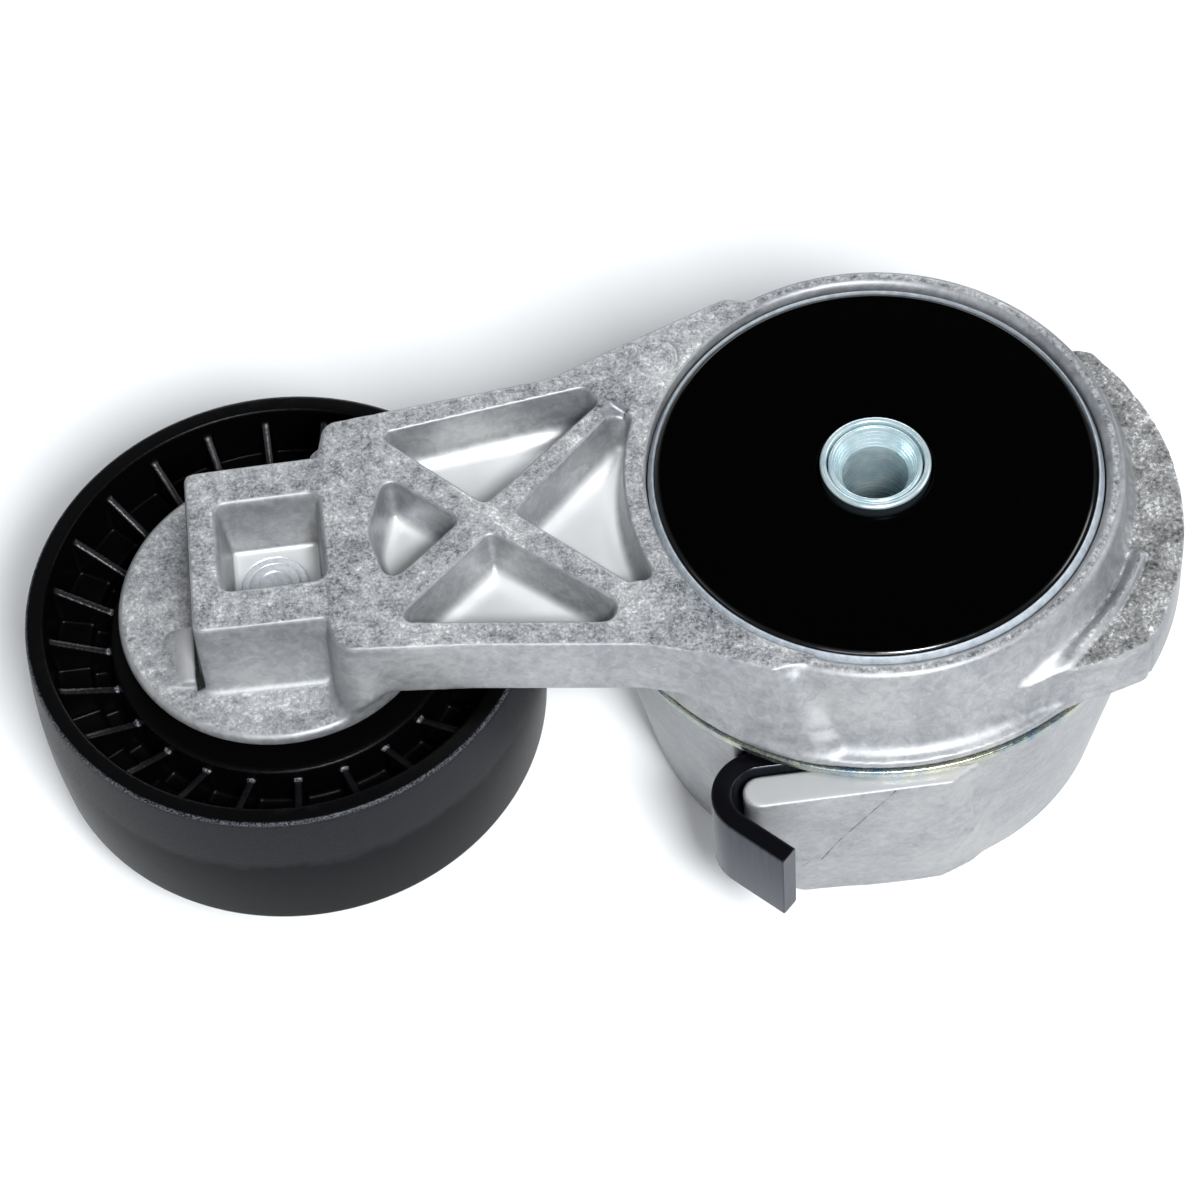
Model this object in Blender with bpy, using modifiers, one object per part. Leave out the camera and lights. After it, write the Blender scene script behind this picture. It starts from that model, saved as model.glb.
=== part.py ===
"""Belt tensioner: a sprung die-cast arm that carries a smooth idler pulley.

The arm turns about the Z axis on a spring case.  The case's mounting face is the plane z = 0,
the pivot axis is the Z axis, and the pulley lies towards -X.  Lengths below are in millimetres.
"""

import math

import bmesh
import bpy
from mathutils import Vector

MM = 0.001
OBJECT_NAME = "belt_tensioner"
GAP = 0.3                  # clearance between pieces that touch

# Facets round a large, a medium and a small turned piece
BIG_STEPS, MEDIUM_STEPS, SMALL_STEPS = 48, 32, 24

# Driving dimensions
CENTRES = 89.0             # pivot axis to pulley axis
PULLEY_RADIUS = 38.0
PULLEY_LOW, PULLEY_HIGH = 14.5, 42.5
PULLEY_CROWN = 0.7         # how far the running face swells at mid width
RIB_COUNT = 24
CASE_TOP = 40.5            # top of the spring case's wall
CASE_RADIUS = 41.5         # the wall's outer radius there
FOOT_RADIUS = 35.4         # the case's outer radius at the mounting face
CHAMBER_RADIUS = 38.5      # inside of the spring chamber
CHAMBER_FLOOR = 23.0
WELL_RADIUS = 18.5         # well under the chamber for the arm's hub tube
WELL_FLOOR = 6.0
TOWER_RADIUS = 10.0
TOWER_TOP = 54.6
SLEEVE_RADIUS = 7.45
SLEEVE_BORE = 4.9
SLEEVE_TOP = 59.4
COLLAR_TOP = 59.6
PLATE_RADIUS = 32.15
PLATE_LOW, PLATE_TOP = 55.0, 58.0
RIM_RADIUS = 34.7          # crest of the barrel's rounded rim
RIM_ROUND = 1.25
RIM_TOP = 58.35
BEAM_TOP = 58.5
BEAM_LOW = 46.5
CUP_RADIUS = RIM_RADIUS - RIM_ROUND
CUP_FLOOR = 52.7
BARREL_WALL = 37.6         # the barrel's outer radius where the web meets it
SHELL_FLOOR = 48.5         # underside of the barrel's floor
FLANGE_RADIUS = 42.3
FLANGE_LOW = 42.7
HUB_TUBE_RADIUS = 16.5
HUB_TUBE_BORE = 12.0
HUB_TUBE_LOW = 8.3
DISC_RADIUS = 24.0         # dust disc over the pulley's bearing
DISC_LOW, DISC_TOP = 39.5, 43.2
SOCKET_TOP, SOCKET_BASE = 14.6, 12.9   # side of the square drive socket
SOCKET_FLOOR = 47.0
SOCKET_CENTRE = (-88.5, 0.1)
POCKET_DEPTH = 8.5                     # of the web pockets below the beam's top
WING_TOP = 53.5
RIB_HALF = 0.65                        # half the thickness of a pulley rib
SPRING_THICKNESS = 3.0
SPRING_LOW, SPRING_TOP = 24.5, 40.0
TONGUE_END = (-22.8, -41.3)            # centre of the tongue's rounded end
TONGUE_RADIUS = 2.7
HOOK_WINDOW = (-128, -98)              # degrees; the spring leaves the case through it
FOOT_POCKET_RADII = (21.0, 31.5)       # lightening pockets in the mounting face
FOOT_POCKET_COUNT = 5
FOOT_POCKET_START, FOOT_POCKET_WIDTH = 127.2, 46.0   # degrees
FOOT_POCKET_DEPTH = 18.5
DOWEL_RADIUS, DOWEL_DEPTH = 3.05, 9.0
DOWEL_CENTRE = (0.0, 27.0)
STOP_HALF_ANGLE = 12                   # degrees; the lug that limits the arm's travel
STOP_TOP = 12.0
STOP_NOTCH = (-50, 14)                 # degrees; the arm's notch over the lug
HOOK_RADIUS = 5.7                      # centreline of the strip round the tongue
HOOK_TAIL = 9.3
BEARING_LOW, BEARING_HIGH = 21.5, 35.5
BEARING_OUTSIDE, BEARING_BORE = 23.5, 8.5
BALL_COUNT = 7
BALL_RADIUS = 4.365
PITCH_RADIUS = 16.0
BOLT_RADIUS = 5.0
PIVOT = (0.0, 0.0)
PULLEY = (-CENTRES, 0.0)

ALUMINIUM = ("cast_aluminium", (0.56, 0.57, 0.58), 0.42, 0.9)
BLACK_PAINT = ("black_paint", (0.008, 0.008, 0.009), 0.18, 0.0)
ZINC = ("zinc_plate", (0.55, 0.68, 0.70), 0.25, 1.0)
CHROMATE = ("olive_chromate", (0.30, 0.33, 0.25), 0.30, 0.9)
GREY_NYLON = ("grey_nylon", (0.42, 0.45, 0.48), 0.45, 0.0)
BLACK_NYLON = ("black_nylon", (0.015, 0.015, 0.017), 0.40, 0.0)
SPRING_STEEL = ("spring_steel", (0.035, 0.037, 0.045), 0.25, 0.7)
BEARING_STEEL = ("bearing_steel", (0.50, 0.50, 0.51), 0.20, 1.0)
BRONZE = ("bushing_bronze", (0.42, 0.30, 0.16), 0.40, 0.9)
CAGE_NYLON = ("cage_nylon", (0.36, 0.30, 0.18), 0.50, 0.0)
SEAL_RUBBER = ("seal_rubber", (0.02, 0.02, 0.02), 0.70, 0.0)


def clear_scene():
    for thing in list(bpy.data.objects):
        bpy.data.objects.remove(thing, do_unlink=True)


def make_collection(name):
    group = bpy.data.collections.new(name)
    bpy.context.scene.collection.children.link(group)
    return group


def material_for(finish):
    name, colour, roughness, metallic = finish
    material = bpy.data.materials.get(name)
    if material is None:
        material = bpy.data.materials.new(name)
        material.use_nodes = True
        shader = material.node_tree.nodes["Principled BSDF"]
        shader.inputs["Base Color"].default_value = (*colour, 1.0)
        shader.inputs["Roughness"].default_value = roughness
        shader.inputs["Metallic"].default_value = metallic
    return material


def place(name, mesh, finish=None, centre=PIVOT):
    """Link a mesh as a finished part, or as a hidden tool body where it has no finish."""
    thing = bpy.data.objects.new(name, mesh)
    thing.location = (centre[0] * MM, centre[1] * MM, 0.0)
    if finish is None:
        tools.objects.link(thing)
        thing.hide_render = True
        thing.display_type = "WIRE"
    else:
        parts.objects.link(thing)
        mesh.materials.append(material_for(finish))
    return thing


def clockwise(loop):
    """The loop ordered so that its outer side runs down."""
    area = 0.0
    for (x0, y0), (x1, y1) in zip(loop, loop[1:] + loop[:1]):
        area += x0 * y1 - x1 * y0
    return loop if area < 0 else loop[::-1]


def turned(name, profile, finish=None, centre=PIVOT, steps=BIG_STEPS):
    """Solid of revolution of a closed profile of (radius, height) points."""
    loop = clockwise(list(profile))
    solid = [radius > 0 for radius, height in loop]
    mesh = bpy.data.meshes.new(name)
    vertices = [(radius * MM, 0.0, height * MM) for radius, height in loop]
    edges = []
    for i in range(len(loop)):
        j = (i + 1) % len(loop)
        if solid[i] or solid[j]:
            edges.append((i, j))
    mesh.from_pydata(vertices, edges, [])
    thing = place(name, mesh, finish, centre)
    screw = thing.modifiers.new("turn", "SCREW")
    screw.steps = steps
    screw.render_steps = steps
    screw.use_merge_vertices = True
    screw.merge_threshold = 0.00001
    screw.use_smooth_shade = False
    return thing


def rounded(corners, steps=4):
    """Outline through (x, y, fillet radius) corners, each rounded with an arc."""
    outline = []
    count = len(corners)
    for i, (x, y, radius) in enumerate(corners):
        here = Vector((x, y))
        before = Vector(corners[i - 1][:2]) - here
        after = Vector(corners[(i + 1) % count][:2]) - here
        if radius == 0:
            outline.append((x, y))
            continue
        half = before.angle(after) / 2
        reach = radius / math.tan(half)
        start = here + before.normalized() * reach
        end = here + after.normalized() * reach
        inward = (before.normalized() + after.normalized()).normalized()
        middle = here + inward * radius / math.sin(half)
        spoke = start - middle
        turn = spoke.angle_signed(end - middle)
        for k in range(steps + 1):
            angle = -turn * k / steps
            cos, sin = math.cos(angle), math.sin(angle)
            x, y = spoke.x * cos - spoke.y * sin, spoke.x * sin + spoke.y * cos
            outline.append((middle.x + x, middle.y + y))
    return outline


def arc(radius, start, end, steps, centre=PIVOT):
    """Points on a circle from one angle to another, in degrees."""
    points = []
    for k in range(steps + 1):
        angle = math.radians(start + (end - start) * k / steps)
        points.append((centre[0] + radius * math.cos(angle), centre[1] + radius * math.sin(angle)))
    return points


def scaled(outline, factor, centre):
    """The outline shrunk or grown about a point."""
    cx, cy = centre
    return [(cx + (x - cx) * factor, cy + (y - cy) * factor) for x, y in outline]


def slab(name, outline, low, high, finish=None):
    """Flat plate of a given outline, from a filled curve."""
    curve = bpy.data.curves.new(name, "CURVE")
    curve.dimensions = "2D"
    curve.fill_mode = "BOTH"
    curve.extrude = (high - low) / 2 * MM
    spline = curve.splines.new("POLY")
    spline.points.add(len(outline) - 1)
    for point, (x, y) in zip(spline.points, outline):
        point.co = (x * MM, y * MM, 0.0, 1.0)
    spline.use_cyclic_u = True
    guide = bpy.data.objects.new(name, curve)
    guide.location.z = (low + high) / 2 * MM
    bpy.context.scene.collection.objects.link(guide)
    graph = bpy.context.evaluated_depsgraph_get()
    mesh = bpy.data.meshes.new_from_object(guide.evaluated_get(graph))
    weld = bmesh.new()
    weld.from_mesh(mesh)
    bmesh.ops.remove_doubles(weld, verts=weld.verts, dist=0.000001)
    bmesh.ops.recalc_face_normals(weld, faces=weld.faces)
    weld.to_mesh(mesh)
    weld.free()
    mesh.materials.clear()
    matrix = guide.matrix_world.copy()
    bpy.data.objects.remove(guide, do_unlink=True)
    thing = place(name, mesh, finish)
    thing.matrix_world = matrix
    return thing


def loft(name, levels, finish=None):
    """Solid through outlines of equal point count, given as (height, outline) from the bottom up."""
    count = len(levels[0][1])
    form = bmesh.new()
    rings = []
    for height, outline in levels:
        rings.append([form.verts.new((x * MM, y * MM, height * MM)) for x, y in outline])
    for lower, upper in zip(rings, rings[1:]):
        for i in range(count):
            j = (i + 1) % count
            form.faces.new((lower[i], lower[j], upper[j], upper[i]))
    form.faces.new(rings[0][::-1])
    form.faces.new(rings[-1])
    bmesh.ops.recalc_face_normals(form, faces=form.faces)
    mesh = bpy.data.meshes.new(name)
    form.to_mesh(mesh)
    form.free()
    return place(name, mesh, finish)


def cylinder(name, radius, low, high, centre, segments=SMALL_STEPS):
    """Hidden round tool body."""
    form = bmesh.new()
    bmesh.ops.create_cone(form, cap_ends=True, segments=segments, radius1=radius * MM, radius2=radius * MM,
                          depth=(high - low) * MM)
    bmesh.ops.translate(form, verts=form.verts, vec=(0.0, 0.0, (low + high) / 2 * MM))
    mesh = bpy.data.meshes.new(name)
    form.to_mesh(mesh)
    form.free()
    return place(name, mesh, None, centre)


def combine(target, tool, operation):
    modifier = target.modifiers.new(tool.name, "BOOLEAN")
    modifier.operation = operation
    modifier.solver = "EXACT"
    modifier.object = tool


def join(target, *bodies):
    for body in bodies:
        combine(target, body, "UNION")


def cut(target, *bodies):
    for body in bodies:
        combine(target, body, "DIFFERENCE")


def smooth(*things):
    for thing in things:
        thing.data.shade_smooth()
        thing.data.set_sharp_from_angle(angle=math.radians(35))
        screw = thing.modifiers.get("turn")
        if screw:
            screw.use_smooth_shade = True


# The spring case

def case_body():
    """Turned case: tapered wall, spring chamber, well for the hub tube, and the central tower."""
    profile = [
        (CASE_RADIUS - 0.6, CASE_TOP), (CASE_RADIUS, CASE_TOP - 0.6), (39.3, 24.0), (FOOT_RADIUS + 0.5, 1.0),
        (FOOT_RADIUS, 0.0), (SLEEVE_RADIUS + GAP, 0.0), (SLEEVE_RADIUS + GAP, TOWER_TOP),
        (TOWER_RADIUS, TOWER_TOP), (TOWER_RADIUS, WELL_FLOOR), (WELL_RADIUS, WELL_FLOOR),
        (WELL_RADIUS, CHAMBER_FLOOR), (CHAMBER_RADIUS - 1.1, CHAMBER_FLOOR), (CHAMBER_RADIUS, CASE_TOP)]
    return turned("base_housing", profile, ALUMINIUM)


def sector(name, inner, outer, start, end, low, high, steps):
    outline = arc(inner, start, end, steps) + arc(outer, end, start, steps)
    return slab(name, outline, low, high)


def tongue():
    """Straight wall that ends in a round nose, which the spring's hook goes round."""
    x, y = TONGUE_END
    reach = TONGUE_RADIUS
    nose = arc(reach, 270, 90, 8, TONGUE_END)
    top = [(8.0, -41.6), (4.0, y - reach)] + nose + [(-4.0, y + reach), (7.0, -39.4)]
    inner = y + reach
    low = [(x + (px - x) * 0.98, inner + (py - inner) * 0.45) for px, py in top]
    return loft("tongue_wall", [(CHAMBER_FLOOR - 1.0, low), (CASE_TOP, top)])


def tongue_root():
    """Bulge of the case below the tongue, down to the mounting face."""
    inside = [(-21.0, -25.6, 0), (-8.0, -32.1, 0), (6.0, -32.5, 0)]
    top = [(9.5, -38.2, 0), (5.0, -41.4, 3), (-20.5, -41.4, 3), (-25.8, -37.0, 3), (-27.0, -28.5, 0)]
    foot = [(9.0, -33.9, 0), (5.0, -36.0, 3), (-16.5, -36.2, 3), (-21.6, -32.3, 3), (-24.0, -24.6, 0)]
    return loft("tongue_root", [(0.0, rounded(foot + inside)), (CHAMBER_FLOOR, rounded(top + inside))])


def make_case():
    case = case_body()
    start, end = HOOK_WINDOW
    inner, outer = WELL_RADIUS + 1.5, CASE_RADIUS + 8.5
    cut(case, sector("hook_window", inner, outer, start, end, CHAMBER_FLOOR, CASE_TOP + 2, 6))
    inner, outer = FOOT_POCKET_RADII
    for k in range(FOOT_POCKET_COUNT):
        start = FOOT_POCKET_START + 60 * k
        end = start + FOOT_POCKET_WIDTH
        cut(case, sector(f"foot_pocket_{k + 1}", inner, outer, start, end, -1.0, FOOT_POCKET_DEPTH, 8))
    cut(case, cylinder("dowel_hole", DOWEL_RADIUS, -1.0, DOWEL_DEPTH, DOWEL_CENTRE))
    lug = arc(TOWER_RADIUS - 1, -STOP_HALF_ANGLE, STOP_HALF_ANGLE, 2)
    lug += arc(HUB_TUBE_RADIUS, STOP_HALF_ANGLE, -STOP_HALF_ANGLE, 4)
    stop = slab("stop_lug", lug, WELL_FLOOR - 1, STOP_TOP)
    join(case, tongue(), tongue_root(), stop)
    smooth(case)


def make_pivot_pieces():
    mouth = 6.85
    turned("pivot_sleeve", [
        (SLEEVE_RADIUS, 0.0), (SLEEVE_RADIUS, PLATE_LOW - GAP), (mouth, PLATE_LOW - GAP), (mouth, SLEEVE_TOP),
        (mouth - 0.25, SLEEVE_TOP), (SLEEVE_BORE, 56.7), (SLEEVE_BORE, 0.0)], ZINC, steps=SMALL_STEPS)
    collar = mouth + GAP
    turned("plate_collar", [(collar, PLATE_LOW), (8.1, PLATE_LOW), (8.1, COLLAR_TOP - 0.3), (7.8, COLLAR_TOP),
                            (collar, COLLAR_TOP)], ZINC, steps=SMALL_STEPS)
    turned("front_plate", [
        (8.4, PLATE_LOW), (PLATE_RADIUS - 0.8, PLATE_LOW), (PLATE_RADIUS, PLATE_LOW + 0.8),
        (PLATE_RADIUS, PLATE_TOP - 0.6), (PLATE_RADIUS - 0.6, PLATE_TOP), (8.4, PLATE_TOP)], BLACK_PAINT)
    turned("damping_ring", [
        (14.0, CUP_FLOOR + GAP), (CUP_RADIUS - GAP, CUP_FLOOR + GAP), (CUP_RADIUS - GAP, PLATE_TOP - 1.7),
        (PLATE_RADIUS + GAP + 0.2, PLATE_TOP - 0.2), (PLATE_RADIUS + GAP, PLATE_TOP - 0.2),
        (PLATE_RADIUS + GAP, PLATE_LOW - GAP), (14.0, PLATE_LOW - GAP)], GREY_NYLON)
    turned("thrust_washer", [(33.0, CASE_TOP + GAP), (42.1, CASE_TOP + GAP), (42.1, FLANGE_LOW - GAP),
                             (33.0, FLANGE_LOW - GAP)], CHROMATE)
    turned("pivot_bushing", [(TOWER_RADIUS + GAP, HUB_TUBE_LOW), (HUB_TUBE_BORE - GAP, HUB_TUBE_LOW),
                             (HUB_TUBE_BORE - GAP, CUP_FLOOR - 0.5), (TOWER_RADIUS + GAP, CUP_FLOOR - 0.5)],
           BRONZE, steps=SMALL_STEPS)
    washer = turned("lower_thrust_washer", [
        (TOWER_RADIUS + GAP, WELL_FLOOR + GAP), (HUB_TUBE_RADIUS, WELL_FLOOR + GAP),
        (HUB_TUBE_RADIUS, HUB_TUBE_LOW - GAP), (TOWER_RADIUS + GAP, HUB_TUBE_LOW - GAP)],
        BLACK_NYLON, steps=SMALL_STEPS)
    cut(washer, slab("washer_gap", arc(8, -14, 14, 2) + arc(20, 14, -14, 2), WELL_FLOOR, HUB_TUBE_LOW))
    for name in ("pivot_sleeve", "plate_collar", "front_plate", "damping_ring", "thrust_washer",
                 "pivot_bushing", "lower_thrust_washer"):
        smooth(bpy.data.objects[name])


def spring_path():
    """Centreline of the strip, from its inner tang to the free end of its hook."""
    bend = 2.4
    path = [(0.0, 14.0), (0.0, 15.4)]
    path += arc(bend, 180, 90, 4, (bend, 16.9))
    start_angle = math.degrees(math.atan2(path[-1][1], path[-1][0]))
    start_radius = math.hypot(*path[-1])
    end_radius = -(TONGUE_END[1] + HOOK_RADIUS)
    sweep = start_angle + 90 + 3 * 360
    steps = 84
    for k in range(1, steps + 1):
        part = k / steps
        radius = start_radius + (end_radius - start_radius) * part
        angle = math.radians(start_angle - sweep * part)
        path.append((radius * math.cos(angle), radius * math.sin(angle)))
    path += arc(HOOK_RADIUS, 90, 225, 9, TONGUE_END)
    x, y = path[-1]
    slant = HOOK_TAIL / math.sqrt(2)
    path.append((x + slant, y - slant))
    return path


def make_spring():
    """Upright ribbon along the spiral, thickened to the strip."""
    form = bmesh.new()
    vertices = [form.verts.new((x * MM, y * MM, SPRING_LOW * MM)) for x, y in spring_path()]
    edges = [form.edges.new(pair) for pair in zip(vertices, vertices[1:])]
    raised = bmesh.ops.extrude_edge_only(form, edges=edges)["geom"]
    lifted = [item for item in raised if isinstance(item, bmesh.types.BMVert)]
    bmesh.ops.translate(form, verts=lifted, vec=(0.0, 0.0, (SPRING_TOP - SPRING_LOW) * MM))
    mesh = bpy.data.meshes.new("spiral_spring")
    form.to_mesh(mesh)
    form.free()
    spring = place("spiral_spring", mesh, SPRING_STEEL)
    strip = spring.modifiers.new("strip", "SOLIDIFY")
    strip.thickness = SPRING_THICKNESS * MM
    strip.offset = 0.0
    strip.use_even_offset = True
    smooth(spring)


# The arm

def arm_barrel():
    """Turned barrel: rounded rim, cup for the front plate, flange, and the hub tube inside the case."""
    rim = arc(RIM_ROUND, 180, 0, 6, (RIM_RADIUS, RIM_TOP - RIM_ROUND))
    profile = rim + [
        (36.7, 54.5), (38.7, 48.0), (39.4, 45.6), (40.6, 44.4), (FLANGE_RADIUS, 43.8),
        (FLANGE_RADIUS, FLANGE_LOW), (36.2, FLANGE_LOW), (35.4, SHELL_FLOOR), (HUB_TUBE_RADIUS, SHELL_FLOOR),
        (HUB_TUBE_RADIUS, HUB_TUBE_LOW),
        (HUB_TUBE_BORE, HUB_TUBE_LOW), (HUB_TUBE_BORE, CUP_FLOOR), (CUP_RADIUS, CUP_FLOOR)]
    return turned("tension_arm", profile, ALUMINIUM)


def arm_beam():
    """Tapered beam from the barrel to the pulley's boss."""
    upper = [(-45.0, 23.05, 12), (-37.0, 26.4, 10), (-17.4, 33.7, 1)]
    lower = [(-19.5, -32.8, 1.5), (-30.0, -27.9, 8), (-37.5, -25.5, 6), (-62.0, -21.9, 20)]
    left = [(-79.3, -20.0, 2.5), (-80.6, -14.2, 2), (-80.6, 14.3, 2), (-79.0, 20.0, 2.5)]
    outline = rounded(lower + left + upper, 3) + arc(35.9, 115, 242, 16)
    return slab("arm_beam", outline, BEAM_LOW, BEAM_TOP)


def arm_boss():
    """Square block over the pulley's axis, with a little draft."""
    top = [(-100.6, -13.9, 1.2), (-76.0, -14.5, 0), (-76.0, 14.1, 0), (-100.3, 13.8, 1.2)]
    low = [(-101.2, -14.5, 1.2), (-76.0, -15.1, 0), (-76.0, 14.7, 0), (-100.9, 14.4, 1.2)]
    return loft("arm_boss", [(DISC_TOP - 1.0, rounded(low)), (BEAM_TOP, rounded(top))])


def arm_neck():
    """Pad that ties the beam down to the dust disc beside the boss."""
    outline = [(-82.0, -17.5, 2), (-75.0, -20.5, 2), (-70.0, -17.0, 2), (-70.0, 16.0, 2), (-75.0, 19.3, 2),
               (-82.0, 16.5, 2)]
    return slab("arm_neck", rounded(outline, 3), DISC_TOP - 1.0, BEAM_LOW + 1.0)


def dust_disc():
    profile = [(0.0, DISC_TOP), (DISC_RADIUS - 1.6, DISC_TOP), (DISC_RADIUS - 0.4, DISC_TOP - 0.6),
               (DISC_RADIUS, DISC_TOP - 1.6), (DISC_RADIUS, DISC_LOW + 0.6), (DISC_RADIUS - 0.6, DISC_LOW),
               (11.5, DISC_LOW), (11.5, BEARING_HIGH + GAP), (0.0, BEARING_HIGH + GAP)]
    return turned("dust_disc", profile, None, PULLEY, MEDIUM_STEPS)


def wing_radius(angle):
    """The stop wing's edge swells smoothly from its tail at 28 degrees to its corner at -42 degrees."""
    part = (33.0 - angle) / 75.0
    return 40.0 + 7.4 * (0.5 * part + 0.5 * math.sin(math.pi / 2 * part)) - 0.35 * math.sin(math.pi * part)


def stop_wing():
    edge = []
    steps = 14
    for k in range(steps + 1):
        angle = 28.0 - 70.0 * k / steps
        spoke = math.radians(angle)
        edge.append((wing_radius(angle) * math.cos(spoke), wing_radius(angle) * math.sin(spoke)))
    root = arc(36.4, -62, 31, 14)
    return slab("stop_wing", edge + [(19.5, -36.4)] + root, FLANGE_LOW, WING_TOP)


def web_pockets():
    """Four tapered pockets that leave an X-shaped web."""
    outlines = [
        [(-71.2, 16.6, 1.6), (-56.9, 2.1, 1.6), (-38.6, 17.6, 1.2), (-40.4, 20.4, 1.2)],
        [(-56.7, -3.4, 1.6), (-71.4, -16.2, 1.8), (-55.5, -19.0, 20), (-38.8, -19.0, 1.6)],
        [(-60.9, -0.3, 1.8), (-70.9, 9.0, 2.2), (-74.0, -0.2, 8), (-72.0, -9.6, 2.2)],
        [(-52.8, -0.1, 1.6), (-36.6, -15.0, 1.2)] + [(x, y, 0) for x, y in arc(BARREL_WALL, 202, 158, 6)]]
    pockets = []
    for k, corners in enumerate(outlines):
        outline = rounded(corners, 3)
        count = len(outline)
        centre = (sum(x for x, y in outline) / count, sum(y for x, y in outline) / count)
        floor = (BEAM_TOP - POCKET_DEPTH, scaled(outline, 0.80, centre))
        mouth = (BEAM_TOP + 1.0, scaled(outline, 1.02, centre))
        pockets.append(loft(f"web_pocket_{k + 1}", [floor, mouth]))
    return pockets


def drive_socket():
    """Square socket for a half-inch drive, over the pulley's axis."""
    centre = SOCKET_CENTRE
    ends = ((-1, -1), (1, -1), (1, 1), (-1, 1))
    sides = ((SOCKET_FLOOR, SOCKET_BASE), (BEAM_TOP, SOCKET_TOP), (BEAM_TOP + 1.0, SOCKET_TOP + 0.1))
    levels = []
    for height, side in sides:
        half = side / 2
        corners = [(centre[0] + a * half, centre[1] + b * half, 1.2) for a, b in ends]
        levels.append((height, rounded(corners, 3)))
    return loft("drive_socket", levels)


def make_arm():
    arm = arm_barrel()
    half = SPRING_THICKNESS / 2 + GAP
    tang = [(-half, 13.5), (half, 13.5), (half, 18.0), (-half, 18.0)]
    cut(arm, slab("tang_slot", tang, SPRING_LOW - 0.5, SPRING_TOP + 0.5))
    start, end = STOP_NOTCH
    travel = arc(TOWER_RADIUS, start, end, 8) + arc(HUB_TUBE_RADIUS + 1.5, end, start, 8)
    cut(arm, slab("stop_notch", travel, HUB_TUBE_LOW - 1, STOP_TOP + 0.5))
    bushing = bpy.data.objects["pivot_bushing"]
    cut(bushing, slab("bushing_notch", travel, HUB_TUBE_LOW - 1, STOP_TOP + 0.5))
    join(arm, arm_beam(), dust_disc(), arm_neck(), arm_boss(), stop_wing())
    cut(arm, *web_pockets())
    cut(arm, drive_socket(), cylinder("bolt_hole", BOLT_RADIUS + GAP, 30.0, SOCKET_FLOOR + 1.0, PULLEY))
    smooth(arm)


# The pulley and its bearing

def rib_star():
    """Radial stiffening ribs on both sides of the web, as one tool body."""
    blade = [(25.2, 21.5), (35.6, 17.5), (35.6, 40.4), (25.2, 34.4)]
    half = RIB_HALF
    form = bmesh.new()
    for k in range(RIB_COUNT):
        angle = 2 * math.pi * k / RIB_COUNT
        cos, sin = math.cos(angle), math.sin(angle)
        face = form.faces.new([form.verts.new((
            (radius * cos + half * sin) * MM, (radius * sin - half * cos) * MM, height * MM))
            for radius, height in blade])
        grown = bmesh.ops.extrude_face_region(form, geom=[face])["geom"]
        moved = [item for item in grown if isinstance(item, bmesh.types.BMVert)]
        bmesh.ops.translate(form, verts=moved, vec=(-2 * half * sin * MM, 2 * half * cos * MM, 0.0))
    bmesh.ops.recalc_face_normals(form, faces=form.faces)
    mesh = bpy.data.meshes.new("rib_star")
    form.to_mesh(mesh)
    form.free()
    return place("rib_star", mesh, None, PULLEY)


def make_pulley():
    low, high, edge = PULLEY_LOW, PULLEY_HIGH, PULLEY_RADIUS
    seat = BEARING_OUTSIDE + GAP
    face = []
    for k in range(7):
        part = k / 6
        swell = PULLEY_CROWN * (1 - (2 * part - 1) ** 2)
        face.append((edge + swell, high - 1.0 - (high - low - 2.4) * part))
    pulley = turned("pulley", [(35.1, high), (edge - 1.0, high), (edge - 0.3, high - 0.3)] + face + [
        (edge - 0.4, low + 0.4), (edge - 1.4, low), (35.2, low), (34.8, 26.5), (26.3, 27.5), (26.0, 20.5),
        (seat, 20.5), (seat, 36.2), (26.0, 36.2), (26.3, 30.5), (34.8, 30.5)], BLACK_NYLON, PULLEY)
    join(pulley, rib_star())
    smooth(pulley)


def race_groove(shoulder, sign):
    """Arc of the ball groove between its two shoulders, from low to high."""
    middle = (BEARING_LOW + BEARING_HIGH) / 2
    groove = BALL_RADIUS + GAP
    reach = math.degrees(math.acos(abs(shoulder - PITCH_RADIUS) / groove))
    points = []
    for k in range(7):
        angle = math.radians(-reach + 2 * reach * k / 6)
        points.append((PITCH_RADIUS + sign * groove * math.cos(angle), middle + groove * math.sin(angle)))
    return points


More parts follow.
